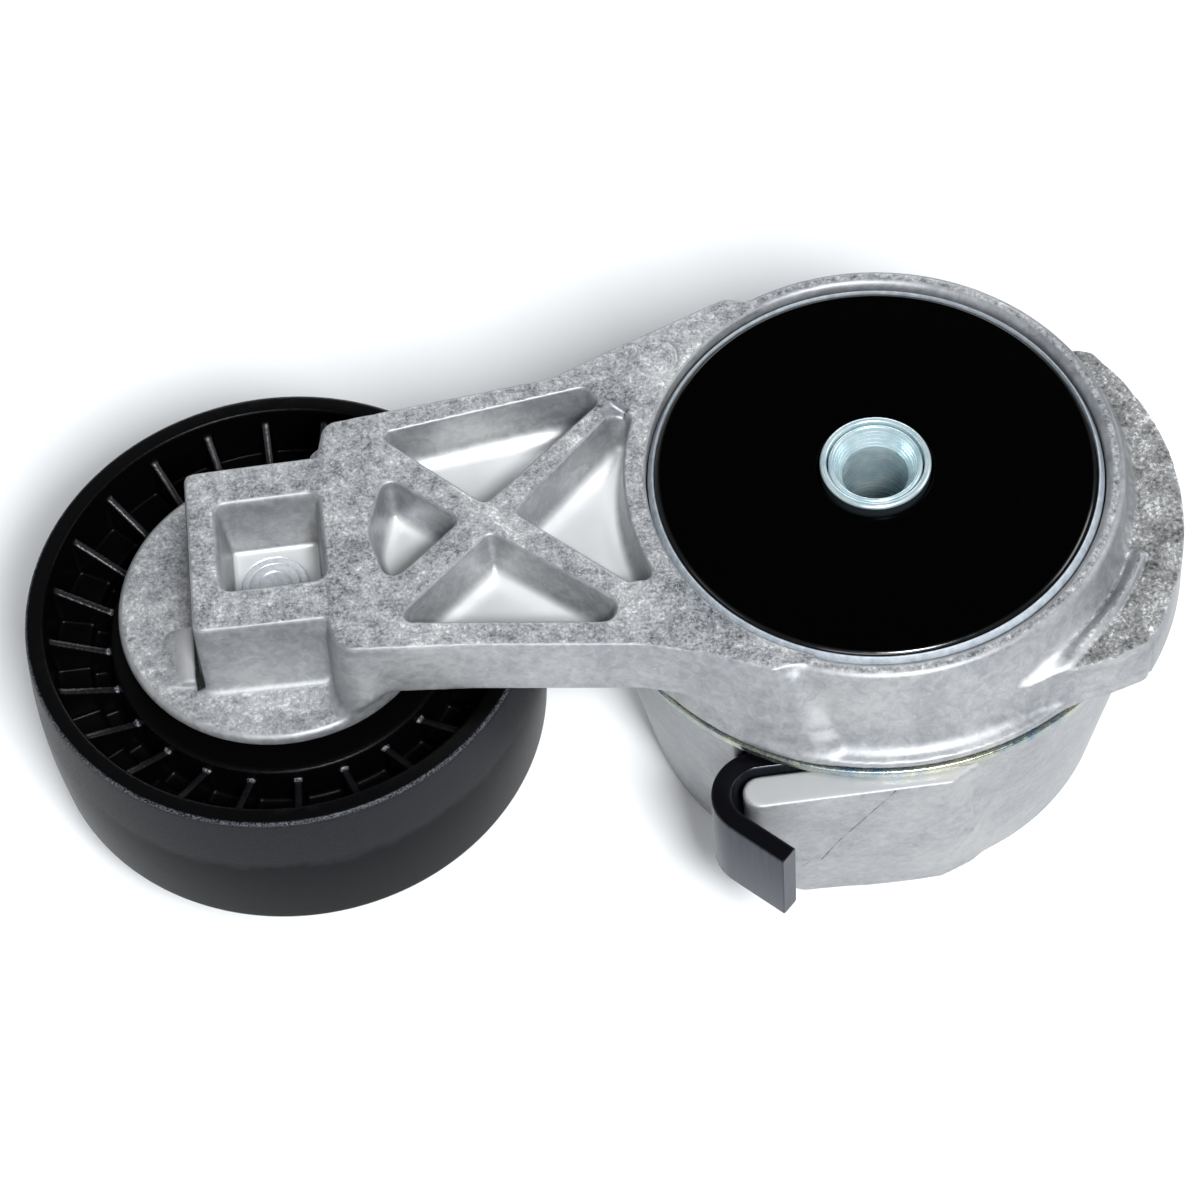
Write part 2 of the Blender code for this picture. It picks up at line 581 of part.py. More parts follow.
def make_bearing():
    low, high = BEARING_LOW, BEARING_HIGH
    middle = (low + high) / 2
    outer = race_groove(18.9, 1)
    inner = race_groove(13.1, -1)
    turned("bearing_outer_race", [(BEARING_OUTSIDE, high), (BEARING_OUTSIDE, low), (18.9, low)] + outer +
           [(18.9, high)], BEARING_STEEL, PULLEY, MEDIUM_STEPS)
    turned("bearing_inner_race", [(BEARING_BORE, low), (13.1, low)] + inner +
           [(13.1, high), (BEARING_BORE, high)], BEARING_STEEL, PULLEY, MEDIUM_STEPS)
    cage = turned("bearing_cage", [(14.9, middle - 5.6), (17.1, middle - 5.6), (17.1, middle + 5.6),
                                   (14.9, middle + 5.6)], CAGE_NYLON, PULLEY, 4 * BALL_COUNT)
    for k in range(BALL_COUNT):
        angle = 2 * math.pi * k / BALL_COUNT
        seat = (PITCH_RADIUS * math.cos(angle) * MM, PITCH_RADIUS * math.sin(angle) * MM, middle * MM)
        bodies = (("bearing_ball", BALL_RADIUS, BEARING_STEEL), ("cage_pocket", BALL_RADIUS + GAP, None))
        for name, radius, finish in bodies:
            form = bmesh.new()
            bmesh.ops.create_uvsphere(form, u_segments=12, v_segments=6, radius=radius * MM)
            bmesh.ops.translate(form, verts=form.verts, vec=seat)
            mesh = bpy.data.meshes.new(f"{name}_{k + 1}")
            form.to_mesh(mesh)
            form.free()
            thing = place(mesh.name, mesh, finish, PULLEY)
            if finish is None:
                cut(cage, thing)
            else:
                smooth(thing)
    for name, base in (("bearing_front_seal", high - 0.9), ("bearing_rear_seal", low + 0.2)):
        seal = turned(name, [(13.5, base), (18.5, base), (18.5, base + 0.7), (13.5, base + 0.7)],
                      SEAL_RUBBER, PULLEY, MEDIUM_STEPS)
        smooth(seal)
    for name in ("bearing_outer_race", "bearing_inner_race", "bearing_cage"):
        smooth(bpy.data.objects[name])


def make_bolt():
    low, high = BEARING_LOW, BEARING_HIGH
    spacer = turned("bearing_spacer", [
        (BOLT_RADIUS + GAP, low + 0.1), (BEARING_BORE - GAP, low + 0.1), (BEARING_BORE - GAP, high - 0.1),
        (BOLT_RADIUS + GAP, high - 0.1)], ZINC, PULLEY, SMALL_STEPS)
    shield = turned("rear_dust_shield", [
        (BOLT_RADIUS + GAP, low - GAP), (15.5, low - GAP), (17.5, low - 1.4), (22.5, low - 1.4),
        (22.5, low - 2.5), (17.0, low - 2.5), (15.0, low - 1.4), (BOLT_RADIUS + GAP, low - 1.4)],
        ZINC, PULLEY, MEDIUM_STEPS)
    seat = low - 1.4 - GAP
    bolt = turned("pulley_bolt", [
        (0.0, seat - 2.0), (10.0, seat - 2.0), (10.4, seat - 1.4), (10.4, seat), (BOLT_RADIUS, seat),
        (BOLT_RADIUS, SOCKET_FLOOR - 0.4), (3.9, SOCKET_FLOOR + 0.4), (0.0, SOCKET_FLOOR + 0.4)],
        ZINC, PULLEY, SMALL_STEPS)
    form = bmesh.new()
    across_corners = 16.0 / math.cos(math.radians(30)) / 2 * MM
    bmesh.ops.create_cone(form, cap_ends=True, segments=6, radius1=across_corners, radius2=across_corners,
                          depth=7.0 * MM)
    bmesh.ops.translate(form, verts=form.verts, vec=(0.0, 0.0, (seat - 4.5) * MM))
    mesh = bpy.data.meshes.new("bolt_hexagon")
    form.to_mesh(mesh)
    form.free()
    join(bolt, place("bolt_hexagon", mesh, None, PULLEY))
    smooth(spacer, shield, bolt)


clear_scene()
parts = make_collection(OBJECT_NAME)
tools = make_collection("cutters")
make_case()
make_pivot_pieces()
make_spring()
make_arm()
make_pulley()
make_bearing()
make_bolt()
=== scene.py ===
"""Looks of the belt tensioner: cast arm and case, pulley, plated pivot pieces and the spring's hook.

Pieces are made in millimetres, in the frame of the CAD model: pivot axis on Z, mounting face at z = 0.
Castings are solids described by signed distance, which gives every inner and outer corner its radius.
"""

import math

import bpy
import numpy as np
from mathutils import Matrix, Vector


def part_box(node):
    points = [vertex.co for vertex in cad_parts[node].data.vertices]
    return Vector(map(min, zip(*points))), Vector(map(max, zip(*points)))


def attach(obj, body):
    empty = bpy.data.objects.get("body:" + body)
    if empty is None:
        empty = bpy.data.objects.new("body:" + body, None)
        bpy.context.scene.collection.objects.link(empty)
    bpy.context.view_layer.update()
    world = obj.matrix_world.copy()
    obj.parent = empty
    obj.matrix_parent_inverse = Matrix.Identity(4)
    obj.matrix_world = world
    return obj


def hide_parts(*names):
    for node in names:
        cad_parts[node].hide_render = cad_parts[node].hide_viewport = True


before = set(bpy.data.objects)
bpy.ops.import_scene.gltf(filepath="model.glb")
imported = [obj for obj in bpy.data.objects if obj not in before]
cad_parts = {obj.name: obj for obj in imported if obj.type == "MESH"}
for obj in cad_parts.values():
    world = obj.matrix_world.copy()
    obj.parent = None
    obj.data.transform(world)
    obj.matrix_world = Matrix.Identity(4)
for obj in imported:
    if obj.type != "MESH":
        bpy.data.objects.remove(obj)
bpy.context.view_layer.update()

MM = 0.001


def corner_mm(node):
    low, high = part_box(node)
    return np.array(low) / MM, np.array(high) / MM


# Sizes read from the frame
pulley_low, pulley_high = corner_mm("pulley")
PULLEY = ((pulley_low[0] + pulley_high[0]) / 2, 0.0)
PULLEY_RADIUS = (pulley_high[1] - pulley_low[1]) / 2
PULLEY_LOW, PULLEY_TOP = pulley_low[2], pulley_high[2]
PLATE_RADIUS, _, PLATE_TOP = corner_mm("front_plate")[1]
CASE_TOP = corner_mm("base_housing")[0][2] + 40.5
COLLAR_RADIUS, _, COLLAR_TOP = corner_mm("plate_collar")[1]
WASHER_LOW, WASHER_TOP = (corner[2] for corner in corner_mm("thrust_washer"))
SPRING_LOW, SPRING_TOP = (corner[2] for corner in corner_mm("spiral_spring"))

# Arm
BEAM_TOP, BEAM_LOW = 58.5, 46.5
BEAM_DRAFT, BOSS_DRAFT, POCKET_DRAFT, SOCKET_DRAFT = 0.035, 0.04, 0.10, 0.075
RIM_CREST, RIM_ROUND, RIM_TOP = 34.7, 1.25, 58.35
CUP_RADIUS, CUP_FLOOR = 33.45, 52.7
FLANGE_RADIUS, FLANGE_LOW = 41.8, 42.7
HUB_OUTSIDE, HUB_BORE, HUB_LOW = 16.5, 12.0, 8.3
DISC_RADIUS, DISC_LOW, DISC_TOP = 24.0, 39.5, 43.2
BOSS_END, BOSS_FRONT, BOSS_BACK = -100.6, -13.9, 13.8
WING_TOP = 53.5
POCKET_FLOOR = BEAM_TOP - 8.5
SOCKET = (-88.5, 0.1)
SOCKET_SIDE, SOCKET_FLOOR = 14.6, 47.0
PIN_MARKS = ((-29.2, 24.4), (-30.3, -23.5))

# Case
CASE_RADIUS, FOOT_RADIUS = 41.5, 35.4
CHAMBER_FLOOR, WELL_RADIUS, WELL_FLOOR = 23.0, 18.5, 6.0
TOWER_RADIUS, TOWER_TOP, TOWER_BORE = 10.0, 54.6, 7.75
TONGUE_END, TONGUE_RADIUS = (-22.8, -41.3), 2.7

# Spring
SPRING_THICKNESS, SPRING_TURNS, HOOK_RADIUS, HOOK_TAIL = 3.0, 3, 5.7, 9.3

# Pulley: ribs rise and widen outward from the bearing seat
RIB_COUNT, RIB_HALF, RIB_EDGE = 24, 0.62, 0.2
RIB_START, RIB_LENGTH = 25.2, 10.4
RIB_TOPS, RIB_FEET = (34.4, 40.4), (21.5, 17.5)

# Turned pieces
PLATE_LOW, SLEEVE_BORE, SLEEVE_RADIUS = 55.0, 4.9, 7.45
WASHER_RADIUS = 42.28
BOLT_HEAD_TOP, BOLT_HEAD_HALF = 18.0, 8.0

MOST_TRIANGLES = 190000


# Signed distance in millimetres, negative inside

class Grid:
    """Sample points over a box; shapes return a distance for each, or for each column of them."""

    def __init__(self, low, high, step):
        self.low = np.array(low, np.float32)
        self.step = step
        axes = [np.arange(a, b + step, step, dtype=np.float32) for a, b in zip(low, high)]
        self.x = axes[0][:, None]
        self.y = axes[1][None, :]
        self.z = axes[2]
        self.size = tuple(len(axis) for axis in axes)

    def window(self, low, high):
        """The part of the grid inside a smaller box, and its slices."""
        first = [max(0, int((a - b) / self.step)) for a, b in zip(low, self.low)]
        last = [min(n, int((a - b) / self.step) + 2) for a, b, n in zip(high, self.low, self.size)]
        cut = tuple(slice(a, b) for a, b in zip(first, last))
        part = Grid.__new__(Grid)
        part.x, part.y, part.z = self.x[cut[0]], self.y[:, cut[1]], self.z[cut[2]]
        return part, cut

    def across(self, outline):
        """Distance of each column of points from a flat outline, negative inside it."""
        return outline_distance(self.x, self.y, outline)[..., None]

    def reach(self, centre=(0.0, 0.0)):
        """Distance of each column of points from an upright axis."""
        return np.hypot(self.x - centre[0], self.y - centre[1])[..., None]


def outline_distance(x, y, outline):
    """Distance from points to a closed outline, negative inside it."""
    x, y = np.broadcast_arrays(np.asarray(x, np.float32), np.asarray(y, np.float32))
    nearest = np.full(x.shape, 1e9, np.float32)
    inside = np.zeros(x.shape, bool)
    for (ax, ay), (bx, by) in zip(outline, outline[1:] + outline[:1]):
        dx, dy = bx - ax, by - ay
        length = dx * dx + dy * dy
        if length < 1e-12:
            continue
        along = np.clip(((x - ax) * dx + (y - ay) * dy) / length, 0, 1)
        nearest = np.minimum(nearest, (x - ax - along * dx) ** 2 + (y - ay - along * dy) ** 2)
        if dy != 0:
            crosses = ((ay > y) != (by > y)) & (x < dx * (y - ay) / dy + ax)
            inside ^= crosses
    distance = np.sqrt(nearest)
    return np.where(inside, -distance, distance)


def rounded(corners, steps=6):
    """Closed outline through (x, y, fillet radius) corners."""
    outline = []
    for i, (x, y, radius) in enumerate(corners):
        if radius == 0:
            outline.append((x, y))
            continue
        here = Vector((x, y))
        before = (Vector(corners[i - 1][:2]) - here).normalized()
        after = (Vector(corners[(i + 1) % len(corners)][:2]) - here).normalized()
        half = before.angle(after) / 2
        start, end = (here + side * radius / math.tan(half) for side in (before, after))
        middle = here + (before + after).normalized() * radius / math.sin(half)
        turn = (start - middle).angle_signed(end - middle)
        for k in range(steps + 1):
            spoke = Matrix.Rotation(-turn * k / steps, 2) @ (start - middle)
            outline.append(tuple(middle + spoke))
    return outline


def section(left, right, low, high, fillets, steps=6):
    """Rectangle with a fillet radius for each corner, anticlockwise from its low left one."""
    corners = ((left, low), (right, low), (right, high), (left, high))
    return rounded([(x, y, fillet) for (x, y), fillet in zip(corners, fillets)], steps)


def polar(radius, angle, centre=(0.0, 0.0)):
    """Point at an angle in degrees."""
    turn = math.radians(angle)
    return centre[0] + radius * math.cos(turn), centre[1] + radius * math.sin(turn)


def arc(radius, start, end, steps, centre=(0.0, 0.0)):
    return [polar(radius, start + (end - start) * k / steps, centre) for k in range(steps + 1)]


def sharp(points):
    """Points as corners without a fillet."""
    return [(x, y, 0) for x, y in points]


def slab(grid, flat, low, high, edge=0.0, low_edge=None):
    """Extrusion of a flat distance between two heights, with rounded rims."""
    middle, half = (low + high) / 2, (high - low) / 2
    up = grid.z - middle
    round_off = np.where(up > 0, edge, edge if low_edge is None else low_edge).astype(np.float32)
    side = flat + round_off
    rise = np.abs(up) - half + round_off
    outside = np.sqrt(np.maximum(side, 0) ** 2 + np.maximum(rise, 0) ** 2)
    return outside + np.minimum(np.maximum(side, rise), 0) - round_off


def between(grid, low_flat, high_flat, low, high):
    """Flat distance that changes evenly from one height to another."""
    share = np.clip((grid.z - low) / (high - low), 0, 1)
    return low_flat * (1 - share) + high_flat * share


def turned(grid, profile, centre=(0.0, 0.0)):
    """Solid of revolution of a closed (radius, height) outline."""
    radius = grid.reach(centre)[..., 0]
    fine = 0.1
    samples = np.arange(0, radius.max() + 1, fine, dtype=np.float32)
    table = outline_distance(samples[:, None], grid.z[None, :], profile)
    place = radius / fine
    index = place.astype(np.int32)
    share = (place - index)[..., None]
    return table[index] * (1 - share) + table[index + 1] * share


def blend_union(a, b, radius):
    """Union whose inner corner is filled to a fillet."""
    near = np.maximum(radius - np.abs(a - b), 0)
    return np.minimum(a, b) - near * near / (4 * radius)


def blend_cut(a, b, radius):
    """a without b, with the new rim eased."""
    near = np.maximum(radius - np.abs(a + b), 0)
    return np.maximum(a, -b) + near * near / (4 * radius)


def waves(x, y, size, seed, count=14):
    """Smooth random relief over the plane, about 1 high, made of crossing waves."""
    random = np.random.default_rng(seed)
    total = 0
    for _ in range(count):
        direction = random.normal(size=3)
        direction *= 2 * math.pi / size / np.linalg.norm(direction) * random.uniform(0.6, 1.6)
        total = total + np.sin(direction[0] * x + direction[1] * y + random.uniform(0, 2 * math.pi))
    return (total / math.sqrt(count)).astype(np.float32)


def surface(grid, field):
    """Vertices and quads of the zero surface, by surface nets."""
    inside = field < 0
    count = np.zeros(tuple(n - 1 for n in field.shape), np.int8)
    corners = [(i, j, k) for i in (0, 1) for j in (0, 1) for k in (0, 1)]
    for i, j, k in corners:
        count += inside[i:i + count.shape[0], j:j + count.shape[1], k:k + count.shape[2]]
    cells = np.argwhere((count > 0) & (count < 8)).astype(np.int32)
    number = np.full(count.shape, -1, np.int32)
    number[cells[:, 0], cells[:, 1], cells[:, 2]] = np.arange(len(cells), dtype=np.int32)
    value = {c: field[cells[:, 0] + c[0], cells[:, 1] + c[1], cells[:, 2] + c[2]] for c in corners}
    total = np.zeros((len(cells), 3), np.float32)
    hits = np.zeros(len(cells), np.float32)
    for a in corners:
        for axis in range(3):
            if a[axis]:
                continue
            b = tuple(1 if n == axis else a[n] for n in range(3))
            crossing = (value[a] < 0) != (value[b] < 0)
            share = value[a] / np.where(crossing, value[a] - value[b], 1)
            point = np.tile(np.array(a, np.float32), (len(cells), 1))
            point[:, axis] = share
            total += np.where(crossing[:, None], point, 0)
            hits += crossing
    vertices = cells + total / hits[:, None]
    quads = []
    for axis in range(3):
        ahead = [slice(None)] * 3
        back = [slice(None)] * 3
        ahead[axis], back[axis] = slice(1, None), slice(None, -1)
        change = inside[tuple(ahead)] != inside[tuple(back)]
        at = np.argwhere(change)
        u, v = [(1, 2), (2, 0), (0, 1)][axis]
        at = at[(at[:, u] > 0) & (at[:, v] > 0)]
        ring = []
        for du, dv in ((-1, -1), (0, -1), (0, 0), (-1, 0)):
            cell = at.copy()
            cell[:, u] += du
            cell[:, v] += dv
            keep = np.minimum(cell, np.array(count.shape) - 1)
            ring.append(number[keep[:, 0], keep[:, 1], keep[:, 2]])
        ring = np.stack(ring, 1)
        outward = inside[at[:, 0], at[:, 1], at[:, 2]]
        ring[~outward] = ring[~outward][:, ::-1]
        quads.append(ring)
    quads = np.concatenate(quads)
    quads = quads[(quads >= 0).all(1)]
    return settle(field, vertices) * grid.step + grid.low, quads


def settle(field, points, rounds=2):
    """Moves points onto the zero surface along the gradient."""
    top = np.array(field.shape) - 2
    for _ in range(rounds):
        base = np.clip(points.astype(np.int32), 0, top)
        share = points - base
        value = 0
        slope = [0, 0, 0]
        for i in (0, 1):
            for j in (0, 1):
                for k in (0, 1):
                    sample = field[base[:, 0] + i, base[:, 1] + j, base[:, 2] + k]
                    weights = [share[:, n] if c else 1 - share[:, n] for n, c in enumerate((i, j, k))]
                    value = value + sample * weights[0] * weights[1] * weights[2]
                    for n, c in enumerate((i, j, k)):
                        others = np.prod([w for m, w in enumerate(weights) if m != n], 0)
                        slope[n] = slope[n] + sample * others * (1 if c else -1)
        slope = np.stack(slope, 1)
        length = np.maximum((slope ** 2).sum(1), 1e-6)
        step = np.clip(value / length, -0.5 / np.sqrt(length), 0.5 / np.sqrt(length))
        points = points - slope * step[:, None]
    return points


def mesh_from(name, vertices, faces):
    """Mesh object, smooth shaded, from arrays in millimetres; faces all have the same number of corners."""
    mesh = bpy.data.meshes.new(name)
    sides = faces.shape[1]
    mesh.vertices.add(len(vertices))
    mesh.vertices.foreach_set("co", (np.asarray(vertices, np.float64) * MM).astype(np.float32).ravel())
    mesh.loops.add(len(faces) * sides)
    mesh.loops.foreach_set("vertex_index", faces.astype(np.int32).ravel())
    mesh.polygons.add(len(faces))
    mesh.polygons.foreach_set("loop_start", np.arange(0, len(faces) * sides, sides, dtype=np.int32))
    mesh.update(calc_edges=True)
    mesh.validate()
    mesh.shade_smooth()
    piece = bpy.data.objects.new(name, mesh)
    bpy.context.scene.collection.objects.link(piece)
    return piece


def thin_out(piece, target):
    """Fewer triangles where the surface is nearly flat."""
    triangles = 2 * len(piece.data.polygons)
    if triangles <= target:
        return
    thin = piece.modifiers.new("thin", "DECIMATE")
    thin.ratio = target / triangles
    graph = bpy.context.evaluated_depsgraph_get()
    mesh = bpy.data.meshes.new_from_object(piece.evaluated_get(graph))
    piece.modifiers.remove(thin)
    piece.data = mesh
    mesh.shade_smooth()


def solid(name, grid, field, target):
    vertices, quads = surface(grid, field)
    piece = mesh_from(name, vertices, quads)
    thin_out(piece, target)
    return piece


def spun(name, profile, centre=(0.0, 0.0), steps=192):
    """Turned mesh of a closed (radius, height) outline, for plain round pieces."""
    loop = list(profile)
    area = sum(a[0] * b[1] - b[0] * a[1] for a, b in zip(loop, loop[1:] + loop[:1]))
    if area < 0:
        loop = loop[::-1]
    rim = np.array(loop, np.float64)
    angles = 2 * math.pi * np.arange(steps) / steps
    x = centre[0] + rim[None, :, 0] * np.cos(angles)[:, None]
    y = centre[1] + rim[None, :, 0] * np.sin(angles)[:, None]
    z = np.broadcast_to(rim[None, :, 1], x.shape)
    count = len(loop)
    i, j = np.meshgrid(np.arange(steps), np.arange(count), indexing="ij")
    ahead, above = (i + 1) % steps, (j + 1) % count
    faces = np.stack([i * count + j, ahead * count + j, ahead * count + above, i * count + above], -1)
    return mesh_from(name, np.stack([x, y, z], -1).reshape(-1, 3), faces.reshape(-1, 4))


# The arm

def beam_outline():
    upper = [(-45.0, 23.05, 12), (-37.0, 26.4, 10), (-17.2, 33.9, 2.5), (-12.0, 30.0, 0)]
    lower = [(-12.0, -30.0, 0), (-19.3, -32.6, 1.5), (-30.0, -27.9, 8), (-37.5, -25.5, 6), (-62.0, -21.9, 20)]
    left = [(-80.7, -20.0, 3.5), (-81.4, -13.8, 0.8), (-80.6, 14.3, 2), (-79.2, 19.9, 2.5)]
    return rounded(lower + left + upper)


def wing_radius(angle):
    """The wing's outer edge, which grows from its tail at 33 degrees to its front corner at -42."""
    part = (33.0 - angle) / 75.0
    return 40.0 + 7.08 * (part + math.sin(math.pi / 2 * part)) / 2 - 0.35 * math.sin(math.pi * part)


def wing_outline():
    angles = [27.0 - 68.5 * k / 30 for k in range(1, 31)]
    tail = [(31.0, 20.8, 0), (35.6, 19.6, 1.6)]
    edge = sharp(polar(wing_radius(angle), angle) for angle in angles)
    corner = [(35.6, -31.9, 1.6), (28.0, -34.1, 0), (16.0, -34.4, 0)]
    return rounded(tail + edge + corner + sharp(arc(33.0, -68, 31, 12)))


def bell(value, middle, width):
    return np.exp(-((value - middle) / width) ** 2)


def ramp(value, start, end):
    """0 before start, 1 after end, eased."""
    share = np.clip((value - start) / (end - start), 0, 1)
    return share * share * (3 - 2 * share)


def wing_height(x, y):
    """Top of the wing: a torn gate face, and a smooth lip in front along the barrel."""
    radius = np.hypot(x, y)
    angle = np.degrees(np.arctan2(y, x))
    lip = ramp(-angle, 25.0, 27.0) * ramp(angle, -70.0, -58.0)
    forward = ramp(-angle, -24.0, 20.0)
    coarse, fine = waves(x, y, 5.5, 3), waves(x, y, 2.4, 4)
    grit = np.abs(waves(x, y, 1.5, 5)) - 0.6
    torn = (0.26 * coarse + 0.22 * fine - 0.30 * grit) * (0.30 + 0.70 * forward)
    ridge = 0.5 * bell(radius, 41.0 - 0.12 * (angle + 5.0), 0.9) * ramp(-angle, -8, 4) * ramp(angle, -42, -30)
    crease = 0.75 * bell(radius, 38.1, 0.55) * (1 - lip)
    rough = WING_TOP - 0.45 + torn + ridge - crease
    shallow = 1 - 0.75 * ramp(-angle, 34.0, 60.0)
    valleys = 2.3 * bell(radius, 37.9, 1.15) + 1.5 * bell(radius, 41.1, 0.55)
    rounded_lip = WING_TOP + 0.35 - valleys * shallow
    smooth_part = lip * ramp(-radius, -41.5, -40.9)
    fall = 4.0 * ramp(-angle, 47.0, 66.0)
    return (rough * (1 - smooth_part) + rounded_lip * smooth_part - fall).astype(np.float32)


def pocket_outlines():
    rear = [(-71.6, 16.7, 1.1), (-56.9, 1.9, 1.2), (-38.4, 17.5, 1.2), (-40.3, 20.6, 1.2)]
    front = [(-56.7, -3.1, 1.2), (-72.0, -16.4, 1.3), (-41.0, -20.9, 1.9), (-39.7, -17.8, 1.8)]
    end = [(-60.7, -0.3, 1.3), (-71.1, 9.3, 1.8), (-74.2, -0.2, 8), (-72.2, -9.9, 1.8)]
    middle = [(-52.9, -0.1, 1.2), (-37.9, -14.6, 1.3), (-34.2, -14.4, 1.0)]
    middle += sharp(arc(36.7, 199, 161, 8)) + [(-33.9, 14.6, 1.4), (-36.9, 15.4, 2.0)]
    return [rounded(corners) for corners in (rear, front, end, middle)]


def arm_barrel(grid):
    """Rim, wall, flange and hub tube in one turned shape."""
    return turned(grid, rounded([
        (CUP_RADIUS, 50.0, 0), (CUP_RADIUS, RIM_TOP, RIM_ROUND - 0.01),
        (RIM_CREST + RIM_ROUND, RIM_TOP, RIM_ROUND - 0.01), (36.7, 54.5, 6), (39.3, 44.6, 3.2),
        (FLANGE_RADIUS, 43.9, 0.4), (FLANGE_RADIUS, FLANGE_LOW, 0.3), (36.2, FLANGE_LOW, 0.5),
        (35.4, 48.5, 2), (HUB_OUTSIDE, 48.5, 2.5), (HUB_OUTSIDE, HUB_LOW, 0.5), (HUB_BORE, HUB_LOW, 0.5),
        (HUB_BORE, 50.0, 0)]))


def add_beam(grid, shape):
    part, cut = grid.window((-84, -38, BEAM_LOW - 3), (-10, 38, BEAM_TOP + 2))
    flat = part.across(beam_outline()) - (BEAM_TOP - part.z) * BEAM_DRAFT
    shape[cut] = blend_union(shape[cut], slab(part, flat, BEAM_LOW, BEAM_TOP, 0.5, 1.5), 1.6)


def add_skirt(grid, shape):
    """Flare that carries the beam's front wall down to the flange."""
    part, cut = grid.window((-44, -44, FLANGE_LOW - 1), (0, -8, BEAM_TOP))
    inside = [(-5.0, -20.0, 0), (-36.0, -12.0, 0)]
    high = [(-38.0, -22.0, 0), (-30.0, -27.8, 0), (-19.3, -33.0, 2), (-15.9, -34.3, 1.6), (-12.5, -28.0, 0)]
    low = sharp([(-38.0, -20.5)] + arc(41.6, 218, 249, 9)) + [(-11.2, -39.4, 2.5), (-7.5, -33.0, 0)]
    flat = between(part, part.across(rounded(low + inside)), part.across(rounded(high + inside)), 43.6, 56.0)
    shape[cut] = blend_union(shape[cut], slab(part, flat, FLANGE_LOW, 57.3, 1.5, 0.4), 1.3)


def add_wing(grid, shape):
    part, cut = grid.window((10, -44, FLANGE_LOW - 1), (50, 28, WING_TOP + 2.5))
    flat = part.across(wing_outline()) - (WING_TOP - part.z) * 0.02
    tops = wing_height(part.x, part.y)[..., None]
    shape[cut] = blend_union(shape[cut], slab(part, flat, FLANGE_LOW, tops, 0.5, 0.6), 2.2)


def trim_faces(grid, shape):
    """Keeps the flange's underside and the arm's top flat where the blends would swell them."""
    np.maximum(shape, grid.z - BEAM_TOP - 0.03, out=shape)
    part, cut = grid.window((-46, -44, FLANGE_LOW - 3), (50, 44, FLANGE_LOW + 2))
    shape[cut] = np.maximum(shape[cut], -np.maximum(part.z - FLANGE_LOW, 20.0 - part.reach()))


def hollow_barrel(grid, shape):
    """Cup for the front plate, with the hub's bore through its floor."""
    part, cut = grid.window((-40, -40, 44), (40, 40, 62))
    cup = slab(part, part.reach() - CUP_RADIUS, CUP_FLOOR, 80)
    rim = turned(part, arc(RIM_ROUND, 0, 360, 24, (RIM_CREST, RIM_TOP - RIM_ROUND)))
    shape[cut] = np.minimum(np.maximum(shape[cut], -cup), rim)
    np.maximum(shape, HUB_BORE - grid.reach(), out=shape)


def neck_pad(part):
    """Wall that widens downward from the beam's end to the dust disc."""
    inside = [(-71.0, 16.0, 2), (-75.0, 19.3, 2), (-82.0, 16.5, 2), (-82.0, -12.0, 0)]
    high = rounded([(-80.6, -19.8, 3.5), (-71.0, -20.4, 0)] + inside)
    low = rounded([(-81.6, -22.6, 4.5), (-76.2, -23.3, 1.2), (-71.5, -19.0, 0)] + inside)
    flat = between(part, part.across(low), part.across(high), DISC_TOP, 56.0)
    cone = DISC_RADIUS - 0.6 + (part.z - DISC_TOP) * 0.55 - part.reach(PULLEY)
    return blend_cut(slab(part, flat, DISC_LOW + 1.5, 56.0, 0.5), cone, 0.8)


def corner_pad(part):
    """Sloping pad at the boss's outer corner."""
    corners = [(-99.0, -3.5, 0), (-105.6, -3.5, 1), (-108.3, -12.6, 1), (-101.5, -13.6, 0), (-99.0, -13.6, 0)]
    flat = part.across(rounded(corners)) - (DISC_TOP - part.z) * 0.2
    slope = (part.z - DISC_TOP - 0.2) * 0.95 - (part.x[..., None] + 106.5) * 0.30
    return np.maximum(np.maximum(flat, slope), DISC_TOP - 2 - part.z)


def add_pulley_end(grid, shape):
    """Dust disc, neck pad and boss over the pulley."""
    part, cut = grid.window((-116, -28, 34), (-60, 28, BEAM_TOP + 2))
    disc = turned(part, rounded([
        (0, DISC_TOP, 0), (DISC_RADIUS, DISC_TOP, 1.1), (DISC_RADIUS, 41.1, 0.5), (20.5, 41.1, 1.0),
        (19.5, DISC_LOW, 0.5), (11.5, DISC_LOW, 0.8), (11.5, 35.8, 0.3), (0, 35.8, 0)]), PULLEY)
    block = rounded([(BOSS_END, BOSS_FRONT, 1.4), (-74.0, BOSS_FRONT - 0.6, 0), (-74.0, BOSS_BACK + 0.3, 0),
                     (BOSS_END + 0.3, BOSS_BACK, 1.4)])
    boss = slab(part, part.across(block) - (BEAM_TOP - part.z) * BOSS_DRAFT, DISC_TOP - 2, BEAM_TOP, 0.5)
    local = blend_union(shape[cut], neck_pad(part), 1.0)
    local = blend_union(local, boss, 0.3)
    local = blend_union(local, disc, 2.0)
    shape[cut] = blend_union(local, corner_pad(part), 0.5)


def cut_pockets(grid, shape):
    part, cut = grid.window((-78, -24, 48), (-32, 26, BEAM_TOP + 2))
    local = shape[cut]
    for outline in pocket_outlines():
        flat = part.across(outline) + (BEAM_TOP - part.z) * POCKET_DRAFT
        local = blend_cut(local, slab(part, flat, POCKET_FLOOR, BEAM_TOP + 6, 0, 3.2), 0.22)
    # shallow slope into the middle pocket's rear corner
    facet = part.across([(-38.3, 18.4), (-34.2, 15.6), (-36.6, 13.4), (-39.4, 16.6)])
    slope = (BEAM_TOP - 1.1 - part.z) + 0.30 * ((part.y - 14.2)[..., None] - part.x[..., None] - 37.0)
    shape[cut] = blend_cut(local, np.maximum(facet, slope), 0.2)


